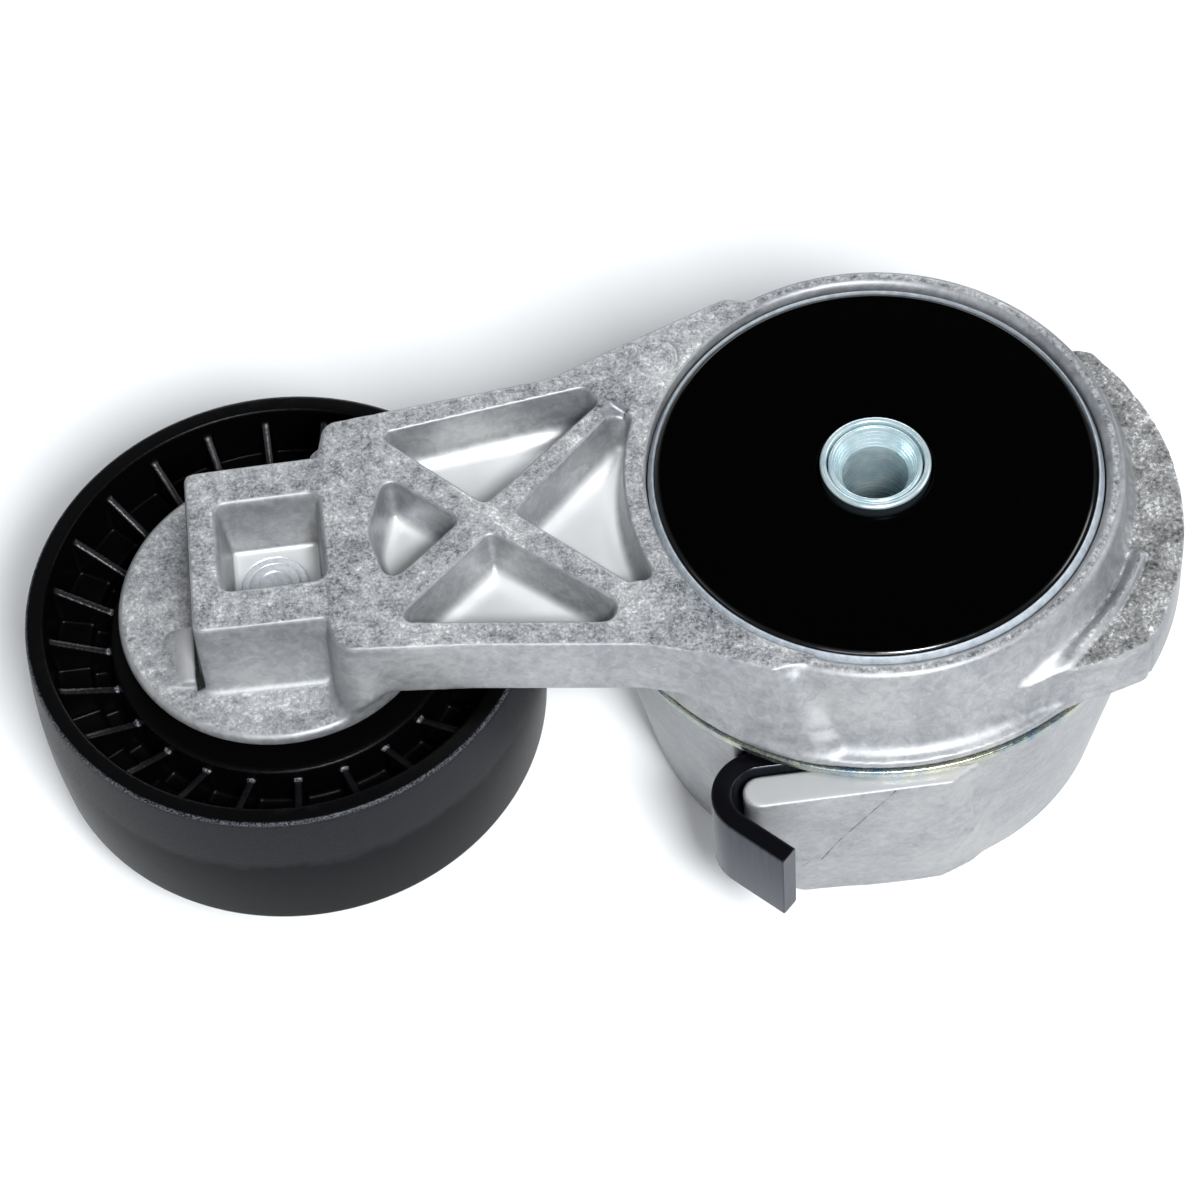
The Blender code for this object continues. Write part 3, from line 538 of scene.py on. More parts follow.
def cut_socket(grid, shape):
    """Drive socket, and the hole for the bolt under it."""
    part, cut = grid.window((-99, -10, 33), (-79, 10, BEAM_TOP + 2))
    (x, y), half = SOCKET, SOCKET_SIDE / 2
    square = section(x - half, x + half, y - half, y + half, (1.3,) * 4)
    flare = 0.6 * np.exp(-(BEAM_TOP - part.z) / 0.7)
    flat = part.across(square) + (BEAM_TOP - part.z) * SOCKET_DRAFT - flare
    local = blend_cut(shape[cut], slab(part, flat, SOCKET_FLOOR, BEAM_TOP + 6, 0, 0.9), 0.2)
    shape[cut] = np.maximum(local, -slab(part, part.reach(PULLEY) - 4.9, 20, SOCKET_FLOOR + 2))


def cut_small_marks(grid, shape):
    """Ejector pin rings beside the pockets, and the parting line of the trimmed gate across the front web."""
    for x, y in PIN_MARKS:
        part, cut = grid.window((x - 5, y - 5, BEAM_TOP - 2), (x + 5, y + 5, BEAM_TOP + 1))
        ring = np.hypot(part.reach((x, y)) - 3.2, part.z - BEAM_TOP) - 0.28
        shape[cut] = blend_cut(shape[cut], ring, 0.3)
    part, cut = grid.window((-41, -20, BEAM_TOP - 2), (-34, -13, BEAM_TOP + 1))
    dx, dy = part.x + 39.6, part.y + 18.8
    along = np.clip((dx * 4.2 + dy * 3.9) / 32.85, 0, 1)
    away = np.hypot(dx - 4.2 * along, dy - 3.9 * along)[..., None]
    shape[cut] = blend_cut(shape[cut], np.hypot(away, part.z - BEAM_TOP) - 0.3, 0.3)


def cut_hub_slots(grid, shape):
    """Stop notch in the hub's foot, and the slot for the spring's inner tang."""
    part, cut = grid.window((-20, -20, HUB_LOW - 2), (20, 20, 13.5))
    notch = part.across(arc(10.0, -50, 14, 8) + arc(18.0, 14, -50, 8))
    shape[cut] = np.maximum(shape[cut], -slab(part, notch, HUB_LOW - 3, 12.5))
    part, cut = grid.window((-4, 10, SPRING_LOW - 2), (4, 20, SPRING_TOP + 2))
    tang = part.across(section(-1.8, 1.8, 11.0, 18.0, (0,) * 4))
    shape[cut] = np.maximum(shape[cut], -slab(part, tang, SPRING_LOW - 0.5, SPRING_TOP + 0.5))


def make_arm():
    grid = Grid((-115, -43.6, 7), (50, 43.6, 61), 0.38)
    shape = arm_barrel(grid)
    for change in (add_beam, add_skirt, add_wing, trim_faces, hollow_barrel, add_pulley_end, cut_pockets,
                   cut_socket, cut_small_marks, cut_hub_slots):
        change(grid, shape)
    dress(solid("cast_arm", grid, shape, MOST_TRIANGLES), "arm", "tension_arm", aluminium)


# The spring case

def add_tongue(grid, shape):
    """Tapered wall below the tongue, and the round-nosed tongue that holds the hook."""
    part, cut = grid.window((-32, -47, -1), (16, -18, CASE_TOP + 1))
    inside = [(-21.0, -25.6, 0), (-8.0, -32.1, 0), (6.0, -32.5, 0)]
    foot = [(9.0, -33.7, 0), (5.0, -36.0, 3), (-16.5, -36.2, 3), (-21.6, -32.3, 3), (-24.0, -24.6, 0)]
    ledge = [(9.8, -37.9, 0), (5.0, -41.2, 3), (-20.5, -41.4, 3), (-25.8, -37.0, 3), (-27.0, -28.5, 0)]
    flat = between(part, part.across(rounded(foot + inside)), part.across(rounded(ledge + inside)),
                   0.0, CHAMBER_FLOOR)
    root = slab(part, flat, 0.0, CHAMBER_FLOOR - 0.6, 0.8, 0.4)
    x, y = TONGUE_END
    front, inner = y - TONGUE_RADIUS, y + TONGUE_RADIUS
    nose = arc(TONGUE_RADIUS, 270, 90, 12, TONGUE_END)
    top = [(9.4, -41.3), (4.5, front)] + nose + [(-4.0, inner), (7.0, -39.0)]
    base = [(x + (px - x) * 0.99, inner + (py - inner) * 0.50) for px, py in top]
    wall = slab(part, between(part, part.across(base), part.across(top), 22.0, CASE_TOP), 18.0, CASE_TOP, 0.5)
    shape[cut] = blend_union(blend_union(shape[cut], root, 4.0), wall, 1.2)


def cut_window(grid, shape):
    """Opening in the case's wall where the spring comes out."""
    part, cut = grid.window((-34, -48, CHAMBER_FLOOR - 1), (2, -16, CASE_TOP + 1))
    flat = part.across(arc(20.0, -128, -98, 8) + arc(50.0, -98, -128, 8))
    shape[cut] = blend_cut(shape[cut], slab(part, flat, CHAMBER_FLOOR, CASE_TOP + 4), 0.6)


def cut_underside(grid, shape):
    """Flat mounting face with five lightening pockets and a dowel hole."""
    np.maximum(shape, -grid.z, out=shape)
    part, cut = grid.window((-34, -34, -1), (34, 34, 20))
    local = shape[cut]
    for k in range(5):
        start = 127.2 + 60 * k
        pocket = part.across(arc(21.0, start, start + 46, 10) + arc(31.5, start + 46, start, 10))
        local = blend_cut(local, slab(part, pocket + part.z * 0.02 + 0.3, -5.0, 18.5, 1.5), 0.4)
    shape[cut] = blend_cut(local, slab(part, part.reach((0.0, 27.0)) - 3.05, -5.0, 9.0, 0.3), 0.4)


def make_case():
    grid = Grid((-43.6, -47, -1.2), (43.6, 43.6, 42), 0.42)
    shape = turned(grid, rounded([
        (CASE_RADIUS, CASE_TOP, 0.6), (39.4, 24.0, 8), (FOOT_RADIUS, 0.0, 0.6), (TOWER_BORE, 0.0, 0.5),
        (TOWER_BORE, TOWER_TOP, 0), (TOWER_RADIUS, TOWER_TOP, 0), (TOWER_RADIUS, WELL_FLOOR, 0.8),
        (WELL_RADIUS, WELL_FLOOR, 0.8), (WELL_RADIUS, CHAMBER_FLOOR, 0.6), (37.4, CHAMBER_FLOOR, 1.2),
        (38.5, CASE_TOP, 0.3)]))
    for change in (cut_window, add_tongue, cut_underside):
        change(grid, shape)
    dress(solid("cast_case", grid, shape, 180000), "base", "base_housing", aluminium)


# The pulley

def pulley_profile():
    """Belt wall with a slight crown, the web, and the seat and lip round the bearing."""
    low, high = PULLEY_LOW, PULLEY_TOP
    edge = PULLEY_RADIUS - 0.7
    crown = [(edge + 0.68 * math.sin(math.pi * k / 12), high - 0.9 - (high - low - 1.8) * k / 12)
             for k in range(13)]
    return rounded([(35.1, high, 0.3), (edge - 0.2, high, 0.45)] + sharp(crown) + [
        (edge - 0.2, low, 0.8), (35.2, low, 0.4), (34.8, 27.2, 1.0), (26.6, 27.2, 1.0), (26.0, 20.5, 0.5),
        (23.8, 20.5, 0.3), (23.8, 35.8, 0), (20.2, 35.8, 0.3), (20.2, 36.9, 0.4), (26.0, 36.9, 0.5),
        (26.6, 30.5, 1.0), (34.8, 30.5, 1.0)])


def pulley_ribs(grid):
    """Radial ribs on both sides of the web, all in one repeated sector."""
    pitch = 2 * math.pi / RIB_COUNT
    angle = np.arctan2(grid.y, grid.x - PULLEY[0])
    off = (angle + pitch / 2) % pitch - pitch / 2
    radius = grid.reach(PULLEY)[..., 0]
    along, aside = radius * np.cos(off), radius * np.sin(off)
    out = along - RIB_START
    upper, lower = (start + out * (end - start) / RIB_LENGTH for start, end in (RIB_TOPS, RIB_FEET))
    middle, half = (upper + lower) / 2, (upper - lower) / 2
    side = np.abs(aside)[..., None] - RIB_HALF + RIB_EDGE
    rise = (np.abs(grid.z - middle[..., None]) - half[..., None]) * 0.87 + RIB_EDGE
    outside = np.sqrt(np.maximum(side, 0) ** 2 + np.maximum(rise, 0) ** 2)
    rib = outside + np.minimum(np.maximum(side, rise), 0) - RIB_EDGE
    return np.maximum(rib, np.maximum(25.0 - along, along - 36.0)[..., None])


def make_pulley():
    reach = PULLEY_RADIUS + 1.0
    grid = Grid((PULLEY[0] - reach, -reach, PULLEY_LOW - 0.8), (PULLEY[0] + reach, reach, PULLEY_TOP + 0.8),
                0.36)
    shape = blend_union(turned(grid, pulley_profile(), PULLEY), pulley_ribs(grid), 0.7)
    # low step between the ribs, on the upper side of the web
    step = turned(grid, section(29.6, 35.5, 29.0, 32.4, (0, 0, 0, 0.4)), PULLEY)
    shape = blend_union(shape, step, 0.4)
    dress(solid("pulley_body", grid, shape, MOST_TRIANGLES), "pulley", "pulley", black_nylon)


# Turned pieces

def make_front_plate():
    profile = section(8.4, PLATE_RADIUS, PLATE_LOW, PLATE_TOP, (0.3, 0.8, 1.0, 0.5), 8)
    dress(spun("painted_plate", profile, steps=256), "base", "front_plate", black_paint)


def make_collar():
    profile = section(7.15, COLLAR_RADIUS, PLATE_LOW, COLLAR_TOP, (0.2, 0.2, 0.45, 0.25))
    dress(spun("plated_collar", profile), "base", "plate_collar", zinc)


def make_sleeve():
    """Pivot sleeve with a turned, countersunk mouth and tool marks down its bore."""
    shoulder, mouth_top, mouth_radius, mouth_low = 54.7, 59.2, 6.3, 56.6
    profile = [(SLEEVE_BORE, 0.0, 0.4), (SLEEVE_RADIUS, 0.0, 0.4), (SLEEVE_RADIUS, shoulder, 0.2),
               (6.85, shoulder, 0), (6.85, 59.4, 0.35), (mouth_radius, 59.3, 0.2)]
    steps = 5
    for k in range(1, steps + 1):
        radius = mouth_radius - (mouth_radius - SLEEVE_BORE) * k / steps
        height = mouth_top - (mouth_top - mouth_low) * k / steps
        profile += [(radius + 0.06, height, 0.05), (radius - 0.02, height - 0.12, 0.05)]
    for k in range(1, 8):
        depth = 56.2 - 1.5 * k
        profile += [(SLEEVE_BORE, depth, 0), (SLEEVE_BORE + 0.08, depth - 0.4, 0)]
    dress(spun("plated_sleeve", rounded(profile, 3)), "base", "pivot_sleeve", zinc)


def make_damping_ring():
    profile = rounded([(14.0, 53.0, 0.2), (33.15, 53.0, 0.2), (33.2, 56.4, 0.3), (32.5, 57.85, 0.3),
                       (32.3, 57.85, 0.1), (32.3, 54.7, 0.2), (14.0, 54.7, 0.2)], 4)
    dress(spun("moulded_ring", profile, steps=256), "base", "damping_ring", grey_nylon)


def make_washer():
    profile = section(33.0, WASHER_RADIUS, WASHER_LOW, WASHER_TOP, (0.2, 0.4, 0.4, 0.2))
    dress(spun("plated_washer", profile, steps=256), "base", "thrust_washer", chromate)


def make_shield():
    profile = rounded([(5.3, 21.2, 0.1), (15.5, 21.2, 0.5), (17.5, 20.1, 0.5), (22.5, 20.1, 0.3),
                       (22.5, 19.0, 0.3), (17.0, 19.0, 0.6), (15.0, 20.1, 0.6), (5.3, 20.1, 0.1)], 4)
    dress(spun("plated_shield", profile, PULLEY), "arm", "rear_dust_shield", bright_steel)


def make_bolt():
    """Shank whose end shows in the socket, and the flanged hexagon head behind the pulley."""
    shank = rounded([(0.0, 17.8, 0), (10.0, 17.8, 0.3), (10.4, 19.8, 0.3), (5.0, 19.8, 0.2),
                     (5.0, 46.95, 0.2), (4.0, 46.95, 0.1), (3.85, 46.8, 0.1), (3.6, 47.25, 0.2),
                     (2.5, 47.25, 0.1), (2.3, 47.1, 0.1), (0.0, 47.1, 0)], 3)
    dress(spun("plated_bolt", shank, PULLEY, 96), "arm", "pulley_bolt", bright_steel)
    low = corner_mm("pulley_bolt")[0][2]
    corner = BOLT_HEAD_HALF / math.cos(math.radians(30))
    vertices = [(*PULLEY, low)]
    for radius, height in ((0.86 * corner, low), (corner, low + 0.9), (corner, BOLT_HEAD_TOP)):
        vertices += [(*polar(radius, 60 * k, PULLEY), height) for k in range(6)]
    faces = [(0, 1 + (k + 1) % 6, 1 + k) for k in range(6)]
    for first in (1, 7):
        for k in range(6):
            a, b = first + k, first + (k + 1) % 6
            faces.append((a, b, b + 6, a + 6))
    faces.append(tuple(range(13, 19)))
    head = small_mesh("bolt_hexagon", vertices, faces)
    edge = head.modifiers.new("edge", "BEVEL")
    edge.width = 0.25 * MM
    edge.segments = 3
    dress(head, "arm", None, bright_steel)


# The spring

def spring_line():
    """Centreline of the strip, from its inner tang to the free end of its hook."""
    path = [(0.0, 14.0), (0.0, 15.4)] + arc(2.4, 180, 90, 8, (2.4, 16.9))
    start_angle = math.degrees(math.atan2(path[-1][1], path[-1][0]))
    start_radius = math.hypot(*path[-1])
    end_radius = -(TONGUE_END[1] + HOOK_RADIUS)
    sweep = start_angle + 90 + SPRING_TURNS * 360
    steps = 80 * SPRING_TURNS
    for k in range(1, steps + 1):
        radius = start_radius + (end_radius - start_radius) * k / steps
        path.append(polar(radius, start_angle - sweep * k / steps))
    path += arc(HOOK_RADIUS, 90, 225, 40, TONGUE_END)
    x, y = path[-1]
    slant = HOOK_TAIL / math.sqrt(2)
    return path + [(x + slant * k / 6, y - slant * k / 6) for k in range(1, 7)]


def make_spring():
    line = [Vector(point) for point in spring_line()]
    half = SPRING_THICKNESS / 2
    strip = section(-half, half, SPRING_LOW, SPRING_TOP, (0.45,) * 4, 4)
    vertices, faces = [], []
    count = len(strip)
    for i, point in enumerate(line):
        ahead = (line[min(i + 1, len(line) - 1)] - line[max(i - 1, 0)]).normalized()
        side = Vector((ahead.y, -ahead.x))
        for across, height in strip:
            vertices.append((point.x + side.x * across, point.y + side.y * across, height))
    for i in range(len(line) - 1):
        for j in range(count):
            a, b = i * count + j, i * count + (j + 1) % count
            faces.append((a, a + count, b + count, b))
    faces.append(tuple(range(count)))
    faces.append(tuple(len(vertices) - count + j for j in range(count))[::-1])
    spring = small_mesh("spring_strip", vertices, faces)
    dress(spring, "base", "spiral_spring", spring_steel)
    end = spring.modifiers.new("sheared_end", "BEVEL")
    end.limit_method = "ANGLE"
    end.angle_limit = math.radians(60)
    end.width = 0.15 * MM
    end.segments = 2


def small_mesh(name, vertices, faces):
    mesh = bpy.data.meshes.new(name)
    mesh.from_pydata([(x * MM, y * MM, z * MM) for x, y, z in vertices], [], faces)
    mesh.update()
    mesh.shade_smooth()
    mesh.set_sharp_from_angle(angle=math.radians(40))
    piece = bpy.data.objects.new(name, mesh)
    bpy.context.scene.collection.objects.link(piece)
    return piece


def dress(piece, body, node, finish):
    """Ties a piece to its body and CAD node, and gives it its finish."""
    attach(piece, body)
    if node:
        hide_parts(node)
    material, name = finish
    piece.data.materials.clear()
    piece.data.materials.append(material)
    return piece


# Finishes

class Finish:
    """Builds a material's nodes; an input may be a number, a colour or another node's output."""

    def __init__(self, name):
        self.slot = name
        self.material = bpy.data.materials.new(name)
        self.material.use_nodes = True
        self.tree = self.material.node_tree
        self.place = self.scaled(self.node("ShaderNodeTexCoord").outputs["Object"], 1 / MM)
        self.x, self.y, self.z = self.node("ShaderNodeSeparateXYZ", {"Vector": self.place}).outputs
        normal = self.node("ShaderNodeNewGeometry").outputs["Normal"]
        self.up = self.node("ShaderNodeSeparateXYZ", {"Vector": normal}).outputs["Z"]

    def set(self, node, inputs):
        for key, value in inputs.items():
            socket = node.inputs[key]
            if isinstance(value, bpy.types.NodeSocket):
                self.tree.links.new(value, socket)
            else:
                socket.default_value = value

    def node(self, kind, inputs=None, **settings):
        node = self.tree.nodes.new(kind)
        for key, value in settings.items():
            setattr(node, key, value)
        self.set(node, inputs or {})
        return node

    def vector(self, operation, a, b=(0, 0, 0)):
        return self.node("ShaderNodeVectorMath", {0: a, 1: b}, operation=operation).outputs

    def scaled(self, vector, factor):
        """The vector times one number, or times a number per axis."""
        return self.vector("MULTIPLY", vector, factor if isinstance(factor, tuple) else (factor,) * 3)[0]

    def radius(self, centre=(0.0, 0.0)):
        """Distance from an upright axis."""
        away = self.vector("SUBTRACT", self.place, (*centre, 0))[0]
        return self.vector("LENGTH", self.scaled(away, (1, 1, 0)))["Value"]

    def noise(self, size, detail=3.0, rough=0.6, place=None, distortion=0.0):
        """Noise with features of a size in millimetres."""
        inputs = {"Vector": place or self.place, "Scale": 1 / size, "Detail": detail, "Roughness": rough,
                  "Distortion": distortion}
        return self.node("ShaderNodeTexNoise", inputs).outputs["Fac"]

    def span(self, value, start, end, low=0.0, high=1.0):
        """The value's range from start to end, mapped to low to high."""
        inputs = {"Value": value, "From Min": start, "From Max": end, "To Min": low, "To Max": high}
        return self.node("ShaderNodeMapRange", inputs).outputs["Result"]

    def band(self, value, start, full, fading, end):
        """1 from full to fading, and 0 before start and after end."""
        return self.product(self.span(value, start, full), self.span(value, end, fading))

    def math(self, operation, *values):
        """One operation along the values, from left to right."""
        result = values[0]
        for value in values[1:]:
            result = self.node("ShaderNodeMath", {0: result, 1: value}, operation=operation).outputs[0]
        return result

    def total(self, *values):
        return self.math("ADD", *values)

    def product(self, *values):
        return self.math("MULTIPLY", *values)

    def size(self, value):
        """The value without its sign."""
        return self.math("ABSOLUTE", value, 0.0)

    def mix(self, share, a, b):
        """Blend of two numbers or two colours."""
        if isinstance(a, tuple) or isinstance(b, tuple) or getattr(a, "type", "") == "RGBA":
            a, b = ((*value, 1) if isinstance(value, tuple) else value for value in (a, b))
            return self.node("ShaderNodeMix", {0: share, 6: a, 7: b}, data_type="RGBA").outputs[2]
        return self.node("ShaderNodeMix", {0: share, 2: a, 3: b}, data_type="FLOAT").outputs[0]

    def ramp(self, value, stops):
        node = self.node("ShaderNodeValToRGB", {"Fac": value})
        elements = node.color_ramp.elements
        while len(elements) < len(stops):
            elements.new(0.5)
        for element, (position, colour) in zip(elements, stops):
            element.position = position
            element.color = (*colour, 1)
        return node.outputs["Color"]

    def bump(self, height, distance, strength=1.0, normal=None):
        """Relief of a height in millimetres."""
        inputs = {"Height": height, "Distance": distance * MM, "Strength": strength}
        if normal:
            inputs["Normal"] = normal
        return self.node("ShaderNodeBump", inputs).outputs["Normal"]

    def finish(self, **inputs):
        """The material and the name of its slot."""
        shader = self.tree.nodes["Principled BSDF"]
        self.set(shader, {key.replace("_", " "): value for key, value in inputs.items()})
        return self.material, self.slot


def grey(value, tint=(1.0, 1.0, 1.0)):
    return tuple(value * c for c in tint)


def floor_mask(f):
    """Floors of the web's pockets and of the drive socket."""
    pockets = f.band(f.z, POCKET_FLOOR - 2.0, POCKET_FLOOR - 1.0, POCKET_FLOOR + 0.8, POCKET_FLOOR + 2.2)
    socket = f.band(f.z, SOCKET_FLOOR - 1.0, SOCKET_FLOOR - 0.2, SOCKET_FLOOR + 0.6, SOCKET_FLOOR + 1.2)
    return f.product(f.total(pockets, socket), f.span(f.up, 0.35, 0.75))


def blasted_skin(f, grain, patch, cloud):
    """Shot-blasted metal, mottled, and flecked with painted glints."""
    flecks = f.total(grain, f.product(patch, 0.7), f.product(cloud, 0.5))
    mottled = f.ramp(f.span(flecks, 0.82, 1.38), [
        (0.0, grey(0.07, (0.94, 1.0, 1.08))), (0.28, grey(0.24, (0.96, 1.0, 1.05))),
        (0.55, grey(0.41, (0.98, 1.0, 1.03))), (0.8, grey(0.60)), (1.0, grey(0.95))])
    painted_glint = f.span(f.noise(0.6, 4, 0.7, distortion=1.8), 0.60, 0.66)
    return f.mix(f.product(painted_glint, 0.65), mottled, grey(0.92))


def wall_skin(f, soft, floors):
    """Smoother die-cast walls, with painted light: the tongue's top and the pocket floors are painted paler,
    the floors palest towards the barrel.
    """
    skin = f.ramp(f.span(soft, 0.75, 1.25), [
        (0.0, grey(0.235, (0.96, 0.99, 1.05))), (0.5, grey(0.305, (0.98, 1.0, 1.03))), (1.0, grey(0.385))])
    skin = f.mix(f.span(f.noise(0.5, 4, 0.7, distortion=1.0), 0.60, 0.70, 0.0, 0.35), skin, grey(0.62))
    # painted light on the tongue's up-facing top
    ledge = f.band(f.z, CASE_TOP - 0.8, CASE_TOP - 0.4, CASE_TOP + 0.5, CASE_TOP + 0.9)
    skin = f.mix(f.product(ledge, f.span(f.up, 0.9, 0.98)), skin, grey(0.56))
    # painted light on the floors of the pockets and the socket, brighter towards the barrel
    warm = (1.0, 1.0, 0.99)
    return f.mix(floors, skin, f.mix(f.span(f.x, -58.0, -50.0), grey(0.79, warm), grey(0.97, warm)))


def flow_line(f, patch):
    """Fine flow line across the case's front wall."""
    slant = f.total(f.product(f.x, 0.904), f.product(f.z, -0.428), 20.68)
    front = f.product(f.span(f.y, -36.0, -37.0), f.band(f.z, 12.0, 14.0, 40.2, 40.4))
    return f.product(f.span(f.size(slant), 0.20, 0.07), front, f.span(patch, 0.40, 0.55, 0.2, 0.9))


def torn_mask(f):
    """The wing's gate face, outside its smooth lip."""
    lip = f.span(f.total(f.y, f.product(f.x, 0.47)), 0.4, -0.4)
    outer = f.span(f.math("SUBTRACT", f.radius(), f.mix(lip, 37.3, 40.5)), 0.0, 0.8)
    level = f.band(f.z, WING_TOP - 3.0, WING_TOP - 2.0, WING_TOP + 1.1, WING_TOP + 1.7)
    return f.product(outer, f.span(f.x, 14.0, 18.0), f.span(f.up, 0.3, 0.6), level)


# Painted light: the boss's sloping corner pad, painted paler where it catches the lamps.
def painted_pad_light_mask(f):
    return f.product(f.span(f.x, BOSS_END - 1.3, BOSS_END - 1.7),
                     f.band(f.z, DISC_TOP + 0.8, DISC_TOP + 1.3, DISC_TOP + 5.8, DISC_TOP + 6.8))


def painted_shadow_mask(f, grain):
    """Painted shadow: the boss's end wall and a narrow strip at its foot, painted near black where its shadow
    line falls.
    """
    across = f.total(f.x, f.product(f.y, -0.02))
    strip = f.band(across, BOSS_END - 1.2, BOSS_END - 0.95, BOSS_END + 0.2, BOSS_END + 0.4)
    side = f.math("MAXIMUM", f.span(f.up, 0.85, 0.60), f.span(f.z, 52.0, 51.0))
    width = f.band(f.y, BOSS_FRONT - 0.6, BOSS_FRONT - 0.2, BOSS_BACK - 0.1, BOSS_BACK + 0.3)
    return f.product(strip, side, width, f.span(grain, 0.30, 0.42, 0.75, 1.0))


def cast_aluminium():
    """Shot-blasted flats, smoother die-cast walls, and a torn gate face on the wing."""
    f = Finish("cast_aluminium")
    grain, patch, cloud = f.noise(0.5, 5, 0.7), f.noise(1.7, 4, 0.6), f.noise(13.0, 3, 0.55)
    soft = f.total(f.noise(1.5, 4, 0.62, distortion=0.6), cloud)
    floors = floor_mask(f)
    high = f.product(f.span(f.z, 50.0, 51.0), f.math("SUBTRACT", 1.0, floors))
    disc = f.product(f.span(f.z, 42.5, 42.9), f.span(f.z, DISC_TOP + 1.0, DISC_TOP + 0.6, 0.0, 0.8))
    flat = f.product(f.span(f.up, 0.90, 0.985), f.total(high, disc))
    crystal = f.total(f.noise(0.6, 5, 0.75, distortion=0.3), f.product(f.noise(3.4, 3, 0.6), 0.45))
    crystal = f.span(crystal, 0.53, 0.92)
    broken = f.ramp(crystal, [(0.0, grey(0.05)), (0.25, grey(0.22)), (0.5, grey(0.35)), (0.68, grey(0.46)),
                              (0.82, grey(0.80)), (1.0, grey(0.98))])
    torn = torn_mask(f)
    colour = f.mix(flat, wall_skin(f, soft, floors), blasted_skin(f, grain, patch, cloud))
    # Marks painted over the skins: a flow line, the torn face, painted light on the corner pad and a painted
    # shadow along the boss's end wall.
    for mask, paint in ((flow_line(f, patch), grey(0.05)), (torn, broken), (painted_pad_light_mask(f), grey(0.60)),
                        (painted_shadow_mask(f, grain), grey(0.012))):
        colour = f.mix(mask, colour, paint)
    valley = f.product(f.span(f.y, -22.0, -27.0), f.span(f.x, 15.0, 19.0), f.span(f.z, 48.0, 50.0))
    wall = f.total(f.span(soft, 0.7, 1.3, 0.40, 0.54), f.product(valley, 0.2))
    pits = f.bump(f.mix(torn, grain, f.product(crystal, 2.0)), 0.16, f.mix(torn, f.mix(flat, 0.08, 0.6), 0.9))
    return f.finish(Base_Color=colour, Roughness=f.mix(flat, wall, f.span(grain, 0.3, 0.7, 0.34, 0.62)),
                    Normal=f.bump(f.noise(4.5, 2, 0.5), 0.25, 0.15, pits), Metallic=0.5)


def glossy_black():
    f = Finish("black_paint")
    peel = f.noise(1.8, 2, 0.5)
    dust = f.span(f.noise(0.35, 2, 0.5), 0.62, 0.85)
    return f.finish(
        Base_Color=f.mix(dust, (0.0003, 0.0003, 0.0004), (0.001, 0.001, 0.0012)),
        Roughness=f.span(peel, 0.3, 0.7, 0.14, 0.22), Specular_IOR_Level=f.span(f.up, 0.98, 0.85, 0.03, 0.7),
        Normal=f.bump(peel, 0.02, 0.25))


def zinc_plate():
    """Pale blue passivated zinc with turning marks round the pivot axis; the collar's outer wall is painted
    dark, a painted reflection of the black plate.
    """
    f = Finish("zinc_plate")
    reach = f.radius()
    rings = f.noise(0.16, 2, 0.5, f.node("ShaderNodeCombineXYZ", {"X": reach, "Z": f.z}).outputs[0])
    colour = f.mix(f.span(f.noise(2.5, 3, 0.6), 0.35, 0.65), (0.52, 0.67, 0.72), (0.76, 0.88, 0.90))
    # painted reflection: the collar's outer wall below its rim is painted near black
    wall = f.product(f.span(reach, COLLAR_RADIUS - 0.15, COLLAR_RADIUS - 0.05),
                     f.span(f.z, COLLAR_TOP - 0.4, COLLAR_TOP - 0.6))
    return f.finish(Base_Color=f.mix(wall, colour, (0.035, 0.045, 0.05)), Metallic=0.6,
                    Roughness=f.span(rings, 0.3, 0.7, 0.18, 0.36), Normal=f.bump(rings, 0.02, 0.5))


def olive_chromate():
    """Plating whose tint drifts from steel blue to olive."""
    f = Finish("olive_chromate")
    drift = f.total(f.noise(14.0, 2, 0.5), f.noise(2.0, 3, 0.6))
    colour = f.ramp(f.span(drift, 0.7, 1.3), [
        (0.0, (0.16, 0.24, 0.31)), (0.45, (0.33, 0.36, 0.34)), (0.75, (0.42, 0.42, 0.32)),
        (1.0, (0.52, 0.52, 0.47))])
    streak = f.noise(0.5, 3, 0.6)
    return f.finish(Base_Color=colour, Roughness=f.span(streak, 0.3, 0.7, 0.18, 0.36), Metallic=0.95,
                    Normal=f.bump(streak, 0.03, 0.3))


def moulded_grey():
    f = Finish("grey_nylon")
    marks = f.noise(1.2, 3, 0.6)
    return f.finish(Base_Color=f.mix(f.span(marks, 0.35, 0.65), (0.33, 0.37, 0.41), (0.48, 0.52, 0.56)),
                    Roughness=f.span(marks, 0.3, 0.7, 0.32, 0.5), Normal=f.bump(marks, 0.03, 0.4))


